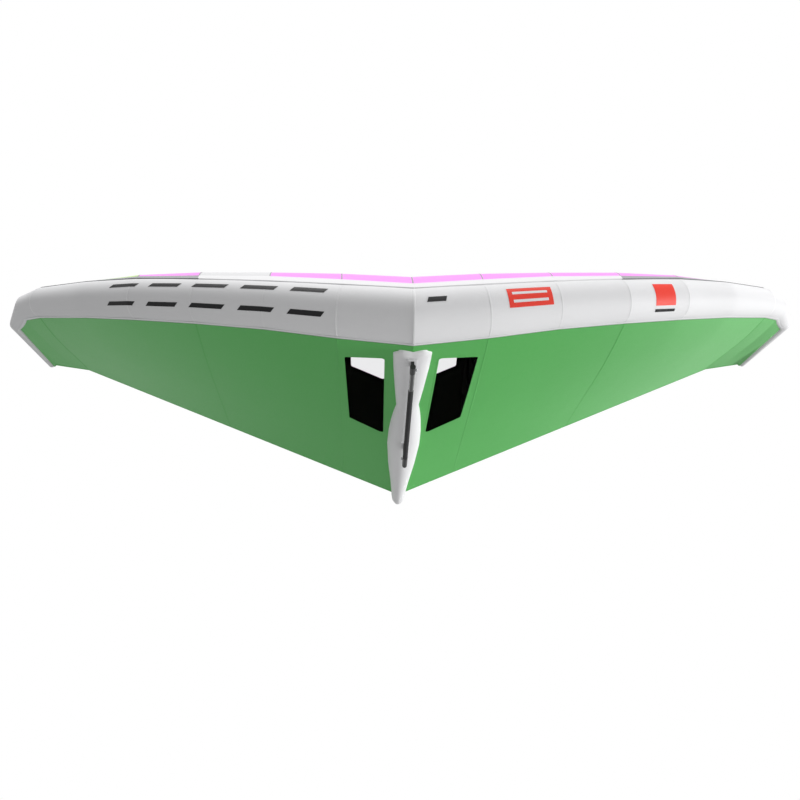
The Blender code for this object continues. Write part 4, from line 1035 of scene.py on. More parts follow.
    def make_prints(self) -> None:
        """Plain blocks and bars in the colours and sizes of a maker's usual marks, with nothing written."""
        dashes = tuple((1.20 + self.dash_pitch * number, 1.66 + self.dash_pitch * number, low, low + self.dash_height)
                       for number in range(self.dashes) for low in self.dash_rows)
        prints = (Print("print_dashes", Side.LEFT, Tone.BLACK, dashes, -0.05),
                  Print("print_bar", Side.RIGHT, Tone.BLACK, ((0.17, 0.42, 3.0, 14.0),), 0.02),
                  Print("print_block", Side.RIGHT, Tone.RED, ((1.255, 1.875, -20.0, 23.0),)),
                  Print("print_stripes", Side.RIGHT, Tone.WHITE,
                        ((1.32, 1.81, -10.0, -4.0), (1.32, 1.81, 8.0, 14.0))),
                  Print("print_square", Side.RIGHT, Tone.RED, ((3.41, 3.75, -35.0, 23.0),)),
                  Print("print_strip", Side.RIGHT, Tone.BLACK, ((3.41, 3.75, -52.0, -44.0),)))
        for marks in prints:
            over = self.print_lift + (self.stripe_lift if marks.tone is Tone.WHITE else 0.0)
            shape = marks.shape(lambda s, rise=over: self.swell(s) + rise)
            SHOP.piece(marks.name, shape, Finish[f"PRINT_{marks.tone.name}"], marks.side)

    def bladder_lift(self, s: Array) -> Array:
        """The bladder's height over the tube, below 0 as it lies inside."""
        return -np.interp(s, [0, FORM.bend, 6.6, self.bladder_end],
                          [self.bladder_gap] * 2 + [self.bladder_tip_gap] * 2)

    def make_bladder(self) -> None:
        """The film bladder inside the sleeve, from tip to tip, with its welded seam along the back."""
        half = span_places(85, self.bladder_end, 29)
        s, degrees = np.meshgrid(half, np.linspace(0.0, 360.0, self.bladder_sides, endpoint=False), indexing="ij")
        folds = 0.0004 * np.sin(np.radians(degrees) * 9 + s * 23) * np.exp(-((s - np.round(s)) / 0.12) ** 2)
        rings = tube(s, degrees, folds + self.bladder_lift(s))
        rings = np.concatenate([rings[:0:-1] * MIRROR, rings])
        for end, beside in ((0, 1), (-1, -2)):
            middle = rings[end].mean(axis=0)
            ahead = unit(middle - rings[beside].mean(axis=0))
            cap = np.stack([middle + (rings[end] - middle) * share + ahead * out
                            for share, out in ((0.7, 0.004), (0.02, 0.006))])
            rings = np.concatenate([cap[::-1], rings] if end == 0 else [rings, cap])
        SHOP.piece("bladder_leading_edge", tube_shape(rings, []), Finish.BLADDER_FILM,
                   stands_for="leading_edge_bladder")
        back = tube(half, 180.0, self.bladder_lift(half))
        back = np.concatenate([back[:0:-1] * MIRROR, back])
        weld = ribbon(back, np.broadcast_to([0.0, 1.0, 0.0], back.shape), self.weld_half_width, self.weld_height)
        SHOP.piece("bladder_weld", weld, Finish.BLADDER_FILM)

    def make(self) -> None:
        """Make the whole tube."""
        for side in Side:
            self.make_sleeves(side)
            self.make_borders(side)
        self.make_nose_seam()
        self.make_prints()
        self.make_bladder()


# Skins

class Face(Enum):
    """The wing's two skins."""

    UPPER = 1
    LOWER = -1

    @property
    def word(self) -> str:
        """The skin's name as the frame's nodes have it."""
        return self.name.lower()

    def pick(self, above: object, below: object) -> object:
        """What holds for this skin."""
        return above if self is Face.UPPER else below

    def surface(self, s: Places, t: Places) -> Array:
        """The skin's outside, drawn tight."""
        return upper(s, t) if self is Face.UPPER else lower(s, t)

    def normals(self, s: Places, t: Places) -> Array:
        """Directions away from the skin: the cross product of small steps across and along it.

        Args:
            s: Places along the span.
            t: Shares along the chord.

        Returns:
            The unit normals.
        """
        s, t = np.broadcast_arrays(np.asarray(s, dtype=float), np.asarray(t, dtype=float))
        across, along = (self.surface(*high) - self.surface(*low) for high, low in (
            ((np.clip(s + STEP, 0, FORM.last()), t), (np.clip(s - STEP, 0, FORM.last()), t)),
            ((s, np.clip(t + STEP, 0, 1)), (s, np.clip(t - STEP, 0, 1)))))
        return unit(np.cross(across, along)) * self.value

    def away(self, middles: Array) -> Array:
        """Roughly where the skin's outside looks: up or down."""
        return np.broadcast_to(UP * self.value, middles.shape)

    def chord(self, steps: int) -> Array:
        """Shares of the chord, closer together at the front of the upper skin."""
        return np.linspace(0.0, 1.0, steps) ** self.pick(1.25, 1.0)

    def filled(self, s: Places, t: Places) -> Array:
        """The skin between its ribs.

        It is full in the middle of each bay, 4 x share x (1 - share) across by sin squared along, with fine
        ripples of two sines on it and small gathers at its front and rear edges.

        Args:
            s: Places along the span.
            t: Shares along the chord.

        Returns:
            The points.
        """
        s, t = np.broadcast_arrays(np.asarray(s, dtype=float), np.asarray(t, dtype=float))
        bay = s - np.floor(np.clip(s, 0, FORM.last() - 0.001))
        fullness = 4 * bay * (1 - bay) * np.sin(np.pi * np.clip(t, 0, 1)) ** 2 * np.where(s < FORM.bend, 1.0, 0.25)
        points = self.surface(s, t)
        ripple = np.sin(points[..., 0] * 46 + points[..., 1] * 9) * 0.5 + np.sin(points[..., 1] * 31) * 0.3
        edge = np.exp(-t / 0.05) + np.exp(-(1 - t) / 0.05)
        reach = self.pick(0.0015, 0.0012) * fullness + 0.0004 * ripple * np.clip(fullness * 2, 0, 1)
        reach = reach + 0.00006 * edge * np.clip(fullness * 4, 0, 1) * np.sin(points[..., 0] * 210)
        return points + self.normals(s, t) * reach[..., None]


@dataclass(frozen=True)
class WindowForm:
    """A window's corners as shares of the inner bay's width and the wing's length."""

    across: tuple[float, ...]
    back: tuple[float, ...]
    corner_radius: float = 0.014
    corner_steps: int = 6
    spacing: float = 0.02

    def outline(self, inset: float) -> Array:
        """Points round the window, with round corners, seen from above.

        Args:
            inset: How far the outline is drawn in.

        Returns:
            The closed outline.
        """
        corners = np.stack([CURVES.centres[1][0] * np.array(self.across), FORM.root_length * np.array(self.back)],
                           axis=-1)
        points: list[Array] = []
        for step, corner in enumerate(corners):
            before, after = unit(corners[step - 1] - corner), unit(corners[(step + 1) % len(corners)] - corner)
            half = math.acos(float(np.clip(before @ after, -1, 1))) / 2
            middle = corner + unit(before + after) * self.corner_radius / math.sin(half)
            start, end = (corner + way * self.corner_radius / math.tan(half) - middle for way in (before, after))
            turn = math.atan2(start[0] * end[1] - start[1] * end[0], start @ end)
            angle = turn * np.linspace(0.0, 1.0, self.corner_steps + 1)
            spokes = np.stack([start[0] * np.cos(angle) - start[1] * np.sin(angle),
                               start[0] * np.sin(angle) + start[1] * np.cos(angle)], axis=-1)
            points.extend(middle + spokes * (1 - inset / self.corner_radius))
        dense: list[Array] = []
        for near, far in zip(np.array(points), np.roll(np.array(points), -1, axis=0)):
            count = max(1, int(np.linalg.norm(far - near) / self.spacing))
            dense.extend(near + (far - near) * part / count for part in range(count))
        return np.array(dense)


WINDOWS = {Face.LOWER: WindowForm((0.39, 0.963, 0.893, 0.34), (0.082, 0.105, 0.480, 0.543)),
           Face.UPPER: WindowForm((0.34, 0.90, 0.865, 0.30), (0.100, 0.118, 0.510, 0.543))}


def shares_at(face: Face, plan: Array) -> tuple[Array, Array]:
    """Places along the span and the chord of points seen from above, in the inner bay.

    Args:
        face: The skin.
        plan: The points.

    Returns:
        The places along the span and the shares of the chord, found by closing in on both in turn.
    """
    table = np.linspace(0.0, 1.0, 400)
    middle, outer = face.surface(0.0, table), face.surface(1.0, table)
    share, y = plan[:, 0] / outer[0, 0], plan[:, 1:]
    for _ in range(12):
        runs = middle[:, 1] + (outer[:, 1] - middle[:, 1]) * share[:, None]
        index = np.clip((runs <= y).sum(axis=1, keepdims=True), 1, len(table) - 1)
        near, far = (np.take_along_axis(runs, index - step, axis=1) for step in (1, 0))
        part = np.clip((y - near) / (far - near), 0, 1)
        along = (table[index - 1] + part * (table[index] - table[index - 1]))[:, 0]
        share = plan[:, 0] / np.interp(along, table, outer[:, 0])
    return np.clip(share, 0, 1), along


def gap_to(points: Array, loop: Array) -> Array:
    """Distance of each point from the nearest point of an outline."""
    return np.linalg.norm(points[:, None] - loop[None], axis=-1).min(axis=1)


def inside_loop(points: Array, loop: Array) -> Array:
    """Which points lie inside a closed outline, by the crossings of a ray."""
    x, y = points[:, 0][:, None], points[:, 1][:, None]
    x0, y0 = loop[:, 0][None], loop[:, 1][None]
    x1, y1 = np.roll(loop[:, 0], -1)[None], np.roll(loop[:, 1], -1)[None]
    spans = (y0 > y) != (y1 > y)
    rise = np.where(np.abs(y1 - y0) < 1e-12, 1e-12, y1 - y0)
    crossing = spans & (x < (x1 - x0) * (y - y0) / rise + x0)
    return crossing.sum(axis=1) % 2 == 1


def raster(loop: Array, pitch: float) -> Array:
    """Points of a square grid over an outline's box."""
    x, y = (np.arange(low, high, pitch) for low, high in zip(loop.min(axis=0), loop.max(axis=0)))
    return np.stack(np.meshgrid(x, y, indexing="ij"), axis=-1).reshape(-1, 2)


def thickness_of(corners: Array) -> Array:
    """Height of flat triangles over their longest sides."""
    sides = np.roll(corners, -1, axis=1) - corners
    twice_area = np.abs(sides[:, 0, 0] * sides[:, 1, 1] - sides[:, 0, 1] * sides[:, 1, 0])
    return twice_area / np.linalg.norm(sides, axis=-1).max(axis=1)


def cut_out(edge: Array, holes: Sequence[Array], inside: Array, thinnest: float = 2e-5) -> tuple[Array, Faces]:
    """Triangles of a flat panel with holes in it, without the slivers that would spoil its shading.

    Args:
        edge: The panel's outline.
        holes: The outlines of its holes.
        inside: Points to use between them.
        thinnest: Thickness under which a triangle is a sliver.

    Returns:
        The points and the triangles.
    """
    loops: list[tuple[int, int]] = []
    for loop in (edge, *holes):
        base, count = len(loops), len(loop)
        loops += [(base + step, base + (step + 1) % count) for step in range(count)]
    points, _, faces, *_ = delaunay_2d_cdt([Vector(point) for point in np.concatenate([edge, *holes, inside])],
                                           loops, [], 0, 1e-6)
    plan = np.array([tuple(point) for point in points])
    triangles = np.array([tuple(face) for face in faces if len(face) == 3])
    middles = plan[triangles].mean(axis=1)
    keep = inside_loop(middles, edge) & (thickness_of(plan[triangles]) > thinnest)
    for hole in holes:
        keep &= ~inside_loop(middles, hole)
    used, triangles = np.unique(triangles[keep], return_inverse=True)
    return plan[used], as_faces(triangles.reshape(-1, 3))


@dataclass(frozen=True)
class Canopy:
    """The two skins: coloured panels, shoulder bands, seam tapes, hems, windows and their bindings."""

    shoulder: tuple[float, ...] = (0.025, 0.030, 0.037, 0.031, 0.030, 0.030, 0.030, 0.030, 0.030, 0.030)
    upper_runs: tuple[Run, ...] = runs(inner=1, second=2, third=3, fourth=4, tip=9)
    lower_runs: tuple[Run, ...] = runs(inner=1, middle=3, outer=6, tip=9)
    cloth: float = 0.0005
    chord_steps: int = 84
    shoulder_steps: int = 8
    window_grid: tuple[int, int] = (14, 90)
    window_clear: float = 0.006
    window_wear: float = 0.02
    white_until: int = 3
    tape_steps: int = 130
    tape_half_width: float = 0.0028
    tape_height: float = 0.00025
    tape_lift: float = 0.0003
    hem_half_width: float = 0.0075
    hem_end: float = 8.9
    hem_knots: tuple[float, ...] = (0, 6, 7, 8, 9)
    hem_shares: tuple[float, ...] = (0.0040, 0.0090, 0.011, 0.014, 0.20)
    pane_lap: float = 0.004
    pane_pitch: float = 0.03
    pane_clear: float = 0.01
    pane_depth: float = 0.0006
    binding_aside: float = 0.0035
    binding_half_width: float = 0.0040
    binding_height: float = 0.0006

    def finish(self, face: Face, side: Side, label: str) -> Finish:
        """The finish of a panel: green below, pink above but for two bays on the left."""
        if face is Face.LOWER:
            return Finish.CANOPY_GREEN
        left = {"third": Finish.CANOPY_PEARL, "tip": Finish.CANOPY_LIME} if side is Side.LEFT else {}
        return left.get(label, Finish.CANOPY_PINK)

    def shoulder_share(self, s: Places) -> Array:
        """Where the shoulder band ends on the upper skin."""
        return at_stations(s, self.shoulder)

    def start(self, face: Face, s: Places) -> Array:
        """Where a skin's coloured cloth starts."""
        return self.shoulder_share(s) if face is Face.UPPER else np.zeros_like(s, dtype=float)

    def panel(self, face: Face, run: Run) -> Shape:
        """A panel on a grid of span by chord."""
        s = run.even_places()
        share = self.start(face, s)[:, None]
        t = share + (1 - share) * face.chord(self.chord_steps)[None, :]
        return grid_shape(face.filled(s[:, None], t)).facing(face.away)

    def window_panel(self, face: Face) -> Shape:
        """The inner panel of a skin, with its window cut out and, below, its edge along the strut."""
        window = WINDOWS[face].outline(0.0)
        steps, back = np.linspace(0.0, 1.0, self.window_grid[0]), face.chord(self.window_grid[1])
        start = self.start(face, steps)
        loop = ((steps, start), (1.0, start[-1] + (1 - start[-1]) * back[1:]), (steps[-2::-1], 1.0),
                (0.0, start[0] + (1 - start[0]) * back[-2:0:-1]))
        edge = np.concatenate([face.surface(s, t) for s, t in loop])[:, :2]
        s_grid, t_grid = np.meshgrid(steps[1:-1], back[1:-1], indexing="ij")
        inside = face.surface(s_grid, start[0] + (1 - start[0]) * t_grid).reshape(-1, 3)[:, :2]
        if face is Face.LOWER:
            edge[:, 0] = np.maximum(edge[:, 0], STRUT.edge(edge[:, 1]))
            inside = inside[inside[:, 0] > STRUT.edge(inside[:, 1]) + self.window_clear]
        inside = inside[gap_to(inside, window) > self.window_clear]
        plan, faces = cut_out(edge, [window], inside)
        solid = face.filled(*shares_at(face, plan))
        wear = np.exp(-gap_to(plan, window) / self.window_wear)
        return Shape(solid, faces, solid[:, 1::-1], wear).facing(face.away)

    def make_panels(self, face: Face, side: Side) -> None:
        """A skin's panels on one half."""
        prefix, node_prefix = face.pick(("canopy", "upper_skin"), ("belly", "lower_skin"))
        for run in face.pick(self.upper_runs, self.lower_runs):
            shape = self.window_panel(face) if run.label == "inner" else self.panel(face, run)
            under = "second" if run.label == "middle" else run.label
            # Their insides take near-black painted shade.
            SHOP.piece(f"{prefix}_{run.label}", shape, self.finish(face, side, run.label), side,
                       f"{node_prefix}_{run.label}", f"sleeve_{under}_{side.word}", lining=Finish.CANOPY_LINING,
                       thickness=self.cloth)

    def make_shoulders(self, side: Side) -> None:
        """The bands between the tube and the coloured cloth: white near the nose, grey further out."""
        for run in self.upper_runs:
            s = run.even_places()
            t = self.shoulder_share(s)[:, None] * np.linspace(0.0, 1.0, self.shoulder_steps)[None, :]
            shape = grid_shape(upper(s[:, None], t)).facing(Face.UPPER.away)
            finish = Finish.CANOPY_WHITE if run.last <= self.white_until else Finish.CANOPY_SHADE
            # Their insides take near-black painted shade.
            SHOP.piece(f"shoulder_{run.label}", shape, finish, side, rests_on=f"canopy_{run.label}_{side.word}",
                       lining=Finish.CANOPY_LINING, thickness=self.cloth)

    def tape(self, face: Face, s: Places, t: Array, half_width: float) -> Shape:
        """A flat tape along a line of the skin."""
        band = ribbon(face.filled(s, t), face.normals(s, t), half_width, self.tape_height, self.tape_lift)
        return band.facing(face.away)

    def make_tapes(self, face: Face, side: Side) -> None:
        """Tapes over the seams between panels, and the hem along the trailing edge."""
        for station in face.pick((1, 2, 3, 4), (1, 3, 6)):
            t = np.linspace(float(self.start(face, station)) + 0.001, 0.998, self.tape_steps)
            band = self.tape(face, float(station), t, self.tape_half_width)
            SHOP.piece(f"seam_tape_{face.word}_{station}", band, face.pick(Finish.TAPE_GREY, Finish.TAPE_GREEN), side)
        s = span_places(200, self.hem_end, 90)
        hem = self.tape(face, s, 1 - np.interp(s, self.hem_knots, self.hem_shares), self.hem_half_width)
        SHOP.piece(f"hem_{face.word}", hem, Finish[f"HEM_{face.name}"], side)

    def make_middle_tape(self) -> None:
        """The tape over the upper skin's centre seam."""
        t = np.linspace(self.shoulder[0] + 0.001, 0.998, self.tape_steps)
        band = ribbon(upper(0.0, t), unit(Face.UPPER.normals(0.0, t) * UPRIGHT), self.tape_half_width * 1.3,
                      self.tape_height)
        SHOP.piece("seam_tape_upper_middle", band.facing(Face.UPPER.away), Finish.TAPE_GREY)

    def make_window(self, face: Face, side: Side) -> None:
        """A film pane and the stitched binding round it."""
        rim = WINDOWS[face].outline(-self.pane_lap)
        inside = raster(rim, self.pane_pitch)
        inside = inside[(gap_to(inside, rim) > self.pane_clear) & inside_loop(inside, rim)]
        plan, faces = cut_out(rim, [], inside)
        at = shares_at(face, plan)
        solid = face.filled(*at) - face.normals(*at) * self.pane_depth
        shape = Shape(solid, faces, solid[:, 1::-1], np.zeros(len(solid))).facing(face.away)
        SHOP.piece(f"pane_{face.word}", shape, Finish.WINDOW_FILM, side, f"window_{face.word}",
                   f"binding_{face.word}_{side.word}")
        at = shares_at(face, WINDOWS[face].outline(-self.binding_aside))
        band = ribbon(face.filled(*at), face.normals(*at), self.binding_half_width, self.binding_height, closed=True)
        SHOP.piece(f"binding_{face.word}", band.facing(face.away),
                   face.pick(Finish.WINDOW_BINDING_PINK, Finish.WINDOW_BINDING_GREEN), side)

    def make(self) -> None:
        """Make both skins."""
        for side in Side:
            for face in Face:
                self.make_panels(face, side)
                self.make_window(face, side)
                self.make_tapes(face, side)
            self.make_shoulders(side)
        self.make_middle_tape()


# Ribs

@dataclass(frozen=True)
class RibSet:
    """Upright ribs between the skins, near black like the skins' insides as painted shade, with bound holes for the
    air.
    """

    stations: tuple[tuple[int, str], ...] = ((0, "middle"), (1, "inner"), (2, "second"), (3, "third"))
    clearance: float = 0.011
    skin_gap: float = 0.0045
    strut_gap: float = 0.008
    arc: tuple[float, float] = (-48.0, 76.0)
    middle_arc_from: float = -15.0
    arc_steps: int = 24
    edge_steps: int = 60
    end_share: float = 0.93
    hole_shares: tuple[float, ...] = (0.28, 0.46, 0.64)
    hole_radius_share: float = 0.27
    hole_steps: int = 48
    pitch: float = 0.04
    clear: float = 0.012
    ripple: float = 0.0008
    binding: tuple[float, float] = (0.006, 0.0006)
    cloth: float = 0.0006

    def plane(self, index: int) -> tuple[Array, Array, float]:
        """A rib's origin, its level direction back, and its length."""
        centre = CURVES.centres[index]
        reach = (FORM.trailing(FORM.edge_shares)[index] - centre) * LEVEL
        return centre, unit(reach), float(np.linalg.norm(reach)) * self.end_share

    def heights(self, index: int, run: Array) -> tuple[Array, Array]:
        """Heights of the skins' insides along a rib."""
        centre, back, _ = self.plane(index)
        shares = np.linspace(0.0, 1.0, 120)
        over, under = upper(index, shares), lower(index, shares)
        high = np.interp(run, (over - centre) @ back, over[:, 2] - centre[2]) - self.skin_gap
        low = np.interp(run, (under - centre) @ back, under[:, 2] - centre[2]) + self.skin_gap
        if index == 0:
            rows = STRUT.rows()
            top = np.interp(run, rows[:, 0], rows[:, 4] + rows[:, 2]) - centre[2] + self.strut_gap
            low = np.where(run > STRUT.front, np.maximum(low, top), low)
        return high, low

    def outline(self, index: int) -> Array:
        """The rib's edge: round the back of the tube, back under the upper skin and forwards over the lower."""
        _, back, end = self.plane(index)
        reach = CURVES.radii[index] / abs(float(CURVES.fronts[index] @ back)) + self.clearance
        rise = CURVES.radii[index] / CURVES.tops[index][2] + self.clearance
        angles = np.radians(np.linspace(self.arc[0] if index else self.middle_arc_from, self.arc[1], self.arc_steps))
        arc = np.stack([reach * np.cos(angles), rise * np.sin(angles)], axis=-1)
        tops = np.linspace(arc[-1, 0], end, self.edge_steps)[1:]
        bottoms = np.linspace(end, arc[0, 0], self.edge_steps)[1:-1]
        high, low = self.heights(index, tops)[0], self.heights(index, bottoms)[1]
        return np.concatenate([arc, np.stack([tops, high], axis=-1), np.stack([bottoms, low], axis=-1)])

    def holes(self, index: int) -> list[Array]:
        """Round holes, each a share of the rib's height."""
        angles = circle(self.hole_steps)
        rounds: list[Array] = []
        for share in self.hole_shares:
            run = np.array([self.plane(index)[2] * share])
            high, low = self.heights(index, run)
            radius = (high[0] - low[0]) * self.hole_radius_share
            rounds.append(np.array([run[0], (high[0] + low[0]) / 2])
                          + radius * np.stack([np.cos(angles), np.sin(angles)], axis=-1))
        return rounds

    def make_rib(self, index: int, word: str, side: Side) -> None:
        """One rib and the bindings of its holes.

        Args:
            index: Its station.
            word: Its name.
            side: The half that it stands in.
        """
        centre, back, _ = self.plane(index)
        edge, holes = self.outline(index), self.holes(index)
        inside = raster(edge, self.pitch)
        for loop in (edge, *holes):
            inside = inside[(gap_to(inside, loop) > self.clear) & (inside_loop(inside, loop) == (loop is edge))]
        plan, faces = cut_out(edge, holes, inside)
        across = np.cross(back, UP)

        def lifted(flat: Array, aside: Places) -> Array:
            return centre + back * flat[:, :1] + UP * flat[:, 1:] + across * np.reshape(aside, (-1, 1))

        ripple = self.ripple * np.sin(plan[:, 0] * 21) * np.sin(plan[:, 1] * 34)
        place = f"{word}_{side.word}" if index else word
        # Rib and bindings in near-black painted shade.
        SHOP.piece(f"rib_panel_{word}", Shape(lifted(plan, ripple), faces, plan, np.zeros(len(plan))),
                   Finish.CANOPY_LINING, side if index else None, f"rib_{word}",
                   f"seam_tape_upper_{f'{index}_{side.word}' if index else 'middle'}", thickness=self.cloth)
        normals = np.broadcast_to(across, (self.hole_steps, 3))
        bands = [ribbon(lifted(hole, self.binding[1]), normals, *self.binding, closed=True) for hole in holes]
        SHOP.piece(f"rib_panel_{place}_bindings", reduce(Shape.joined, bands).mirrored(side), Finish.RIB_BINDING)

    def make(self) -> None:
        """Make all ribs."""
        for index, word in self.stations:
            for side in Side if index else (Side.RIGHT,):
                self.make_rib(index, word, side)


# Strut

@dataclass(frozen=True)
class Strut:
    """The strut's sleeve with its front lip and seams, its tail patch, its pads and the bladder inside."""

    sides: int = 72
    spacing: float = 0.012
    fade: float = 0.09
    lip_reach: float = 0.004
    lip_drop: float = 0.0008
    seam_half_width: float = 0.0036
    seam_height: float = 0.0005
    seam_degrees: float = -10.0
    seam_steps: int = 220
    seam_row: int = 14
    tail_ahead: float = 0.004
    bladder_gap: float = 0.0035
    bladder_rows: tuple[int, int] = (3, 14)
    bladder_sides: int = 48
    bladder_spacing: float = 0.02
    pads: tuple[tuple[str, float, float], ...] = (("front", 0.100, 0.1599), ("rear", 1.0956, 1.1934))
    pad_half_width: float = 0.023
    pad_thickness: float = 0.0019
    pad_wear: float = 0.2

    def rings(self, first: int, last: int, sides: int, spacing: float, shrink: float = 0.0) -> Array:
        """Rings of the strut between two rows, closer than the frame's.

        The front edge is drawn back at its middle, by one minus a quarter sine across, and towards its corners, by
        a power of 1.5. Both fade along the strut.

        Args:
            first: The first row.
            last: The last row.
            sides: Points in a ring.
            spacing: Distance between rings.
            shrink: How far the rings are drawn in.

        Returns:
            The rings, front to back.
        """
        rows = STRUT.rows()[first:last + 1, 0]
        y = np.unique(np.concatenate([np.arange(rows[0], rows[-1], spacing), rows]))
        width, over, under, level = (column[:, None] for column in STRUT.at(y))
        angles = circle(sides)
        cos, sin = np.cos(angles)[None], np.sin(angles)[None]
        x = (width - shrink) * cos
        z = level + (np.where(sin > 0, over, under) - shrink) * sin
        notch = STRUT.set_back + STRUT.lobe * (1 - np.sin(np.pi / 2 * np.clip(np.abs(x) / STRUT.lobe_pitch, 0, 1)))
        notch = notch + STRUT.corner_drop * np.clip((np.abs(x) - STRUT.lobe_pitch) / STRUT.corner_width, 0, 1) ** 1.5
        fade = np.clip(1 - (y - STRUT.front) / self.fade, 0, 1)[:, None]
        return np.stack([x, y[:, None] + (notch * fade if first == 0 else 0 * x), z], axis=-1)

    def lip(self, ring: Array) -> Array:
        """The row that closes the front edge, laid flat against the lower skin."""
        ahead = ring[:, 1] - self.lip_reach
        return np.stack([ring[:, 0] * 0.99, ahead, lower_height(np.abs(ring[:, 0]), ahead) - self.lip_drop], axis=-1)

    def away(self, middles: Array) -> Array:
        """Directions away from the strut's axis."""
        y = middles[:, 1]
        return middles - np.stack([np.zeros(len(y)), y, STRUT.at(y)[3]], axis=-1)

    def closed_end(self, ring: Array) -> Array:
        """Two smaller rings that close a ring at its middle."""
        middle = ring.mean(axis=0)
        return np.stack([middle + (ring - middle) * share for share in (0.5, 0.02)])

    def make_sleeve(self) -> None:
        """The sleeve, closed at its front lip, and the patch over its tail."""
        cover = self.rings(0, STRUT.tail_row, self.sides, self.spacing)
        tail = self.rings(STRUT.tail_row, len(STRUT.y) - 1, self.sides, self.spacing)
        for name, node, parts in (("strut_cover", "strut_sleeve", (self.lip(cover[0])[None], cover)),
                                  ("strut_tail_cover", "strut_tail_patch", (tail, self.closed_end(tail[-1])))):
            rings = np.concatenate(parts)
            shape = grid_shape(np.concatenate([rings, rings[:, :1]], axis=1)).facing(self.away)
            SHOP.piece(name, shape, Finish.SLEEVE_CLOTH, stands_for=node, rests_on="bladder_strut")

    def make_seams(self) -> None:
        """Tapes along the strut's edges, where the lower skin is sewn on, and round its tail."""
        y = np.linspace(STRUT.front + self.fade, STRUT.rows()[self.seam_row, 0], self.seam_steps)
        width, _, under, level = STRUT.at(y)
        angle = math.radians(self.seam_degrees)
        path = np.stack([width * math.cos(angle), y, level + under * math.sin(angle)], axis=-1)
        away = unit(np.stack([math.cos(angle) / width, np.zeros_like(y), math.sin(angle) / under], axis=-1))
        band = ribbon(path, away, self.seam_half_width, self.seam_height).facing(self.away)
        for side in Side:
            SHOP.piece("strut_edge_tape", band, Finish.STRUT_SEAM, side)
        ring = self.rings(STRUT.tail_row, len(STRUT.y) - 1, self.sides, self.spacing)[0]
        ring = ring - np.array([0.0, self.tail_ahead, 0.0])
        away = unit((ring - ring.mean(axis=0)) * np.array([0.3, 0.0, 1.0]))
        band = ribbon(ring, away, self.seam_half_width, self.seam_height, closed=True)
        SHOP.piece("strut_tail_tape", band.facing(self.away), Finish.STRUT_SEAM)

    def make_pad(self, word: str, start: float, stop: float) -> None:
        """A stitched pad under the strut, domed towards its middle.

        Args:
            word: Which mount stands on it.
            start: Where it starts.
            stop: Where it ends.
        """
        y = np.linspace(start, stop, 26)[:, None]
        x = self.pad_half_width * np.sin(np.linspace(-math.pi / 2, math.pi / 2, 25))[None, :]
        width, _, under, level = STRUT.at(y)
        near = level - under + under * (1 - np.sqrt(1 - (x / width) ** 2)) - 0.0003
        edge = np.minimum(np.minimum(y - start, stop - y), self.pad_half_width - np.abs(x))
        quilt = 0.86 + 0.14 * np.clip(np.abs(edge - 0.005) / 0.0012, 0, 1)
        far = near - self.pad_thickness * np.clip(edge / 0.0035, 0.12, 1) ** 0.5 * quilt
        under_side, top_side = (np.stack(np.broadcast_arrays(x, y, height), axis=-1) for height in (far, near))
        rings = np.concatenate([under_side, top_side[:, ::-1]], axis=1)
        count = rings.shape[1]
        ends: Faces = []
        for base in (0, (len(rings) - 1) * count):
            pairs = [(base + step, base + step + 1, base + count - 2 - step, base + count - 1 - step)
                     for step in range(count // 2 - 1)]
            ends += pairs if base == 0 else [pair[::-1] for pair in pairs]
        SHOP.piece(f"mount_pad_{word}", tube_shape(rings, ends, self.pad_wear).facing(self.away), Finish.PAD_CLOTH,
                   stands_for=f"{word}_mount_pad")

    def make_bladder(self) -> None:
        """The film bladder inside the strut, closed at both ends."""
        rings = self.rings(*self.bladder_rows, self.bladder_sides, self.bladder_spacing, self.bladder_gap)
        rings = np.concatenate([self.closed_end(rings[0])[::-1], rings, self.closed_end(rings[-1])])
        rings[:2, :, 1] -= np.array([[0.004], [0.002]])
        rings[-2:, :, 1] += np.array([[0.002], [0.004]])
        SHOP.piece("bladder_strut", tube_shape(rings, []).facing(self.away), Finish.BLADDER_FILM,
                   stands_for="strut_bladder")

    def make(self) -> None:
        """Make the whole strut."""
        self.make_sleeve()
        self.make_seams()
        for pad in self.pads:
            self.make_pad(*pad)
        self.make_bladder()


# Boom and mounts

def refinish(nodes: Mapping[str, bpy.types.Object], finish: Finish, *names: str) -> None:
    """Give solids of the frame a finish in place of their plain one."""
    for name in names:
        for slot in nodes[name].material_slots:
            slot.material = finish.material()


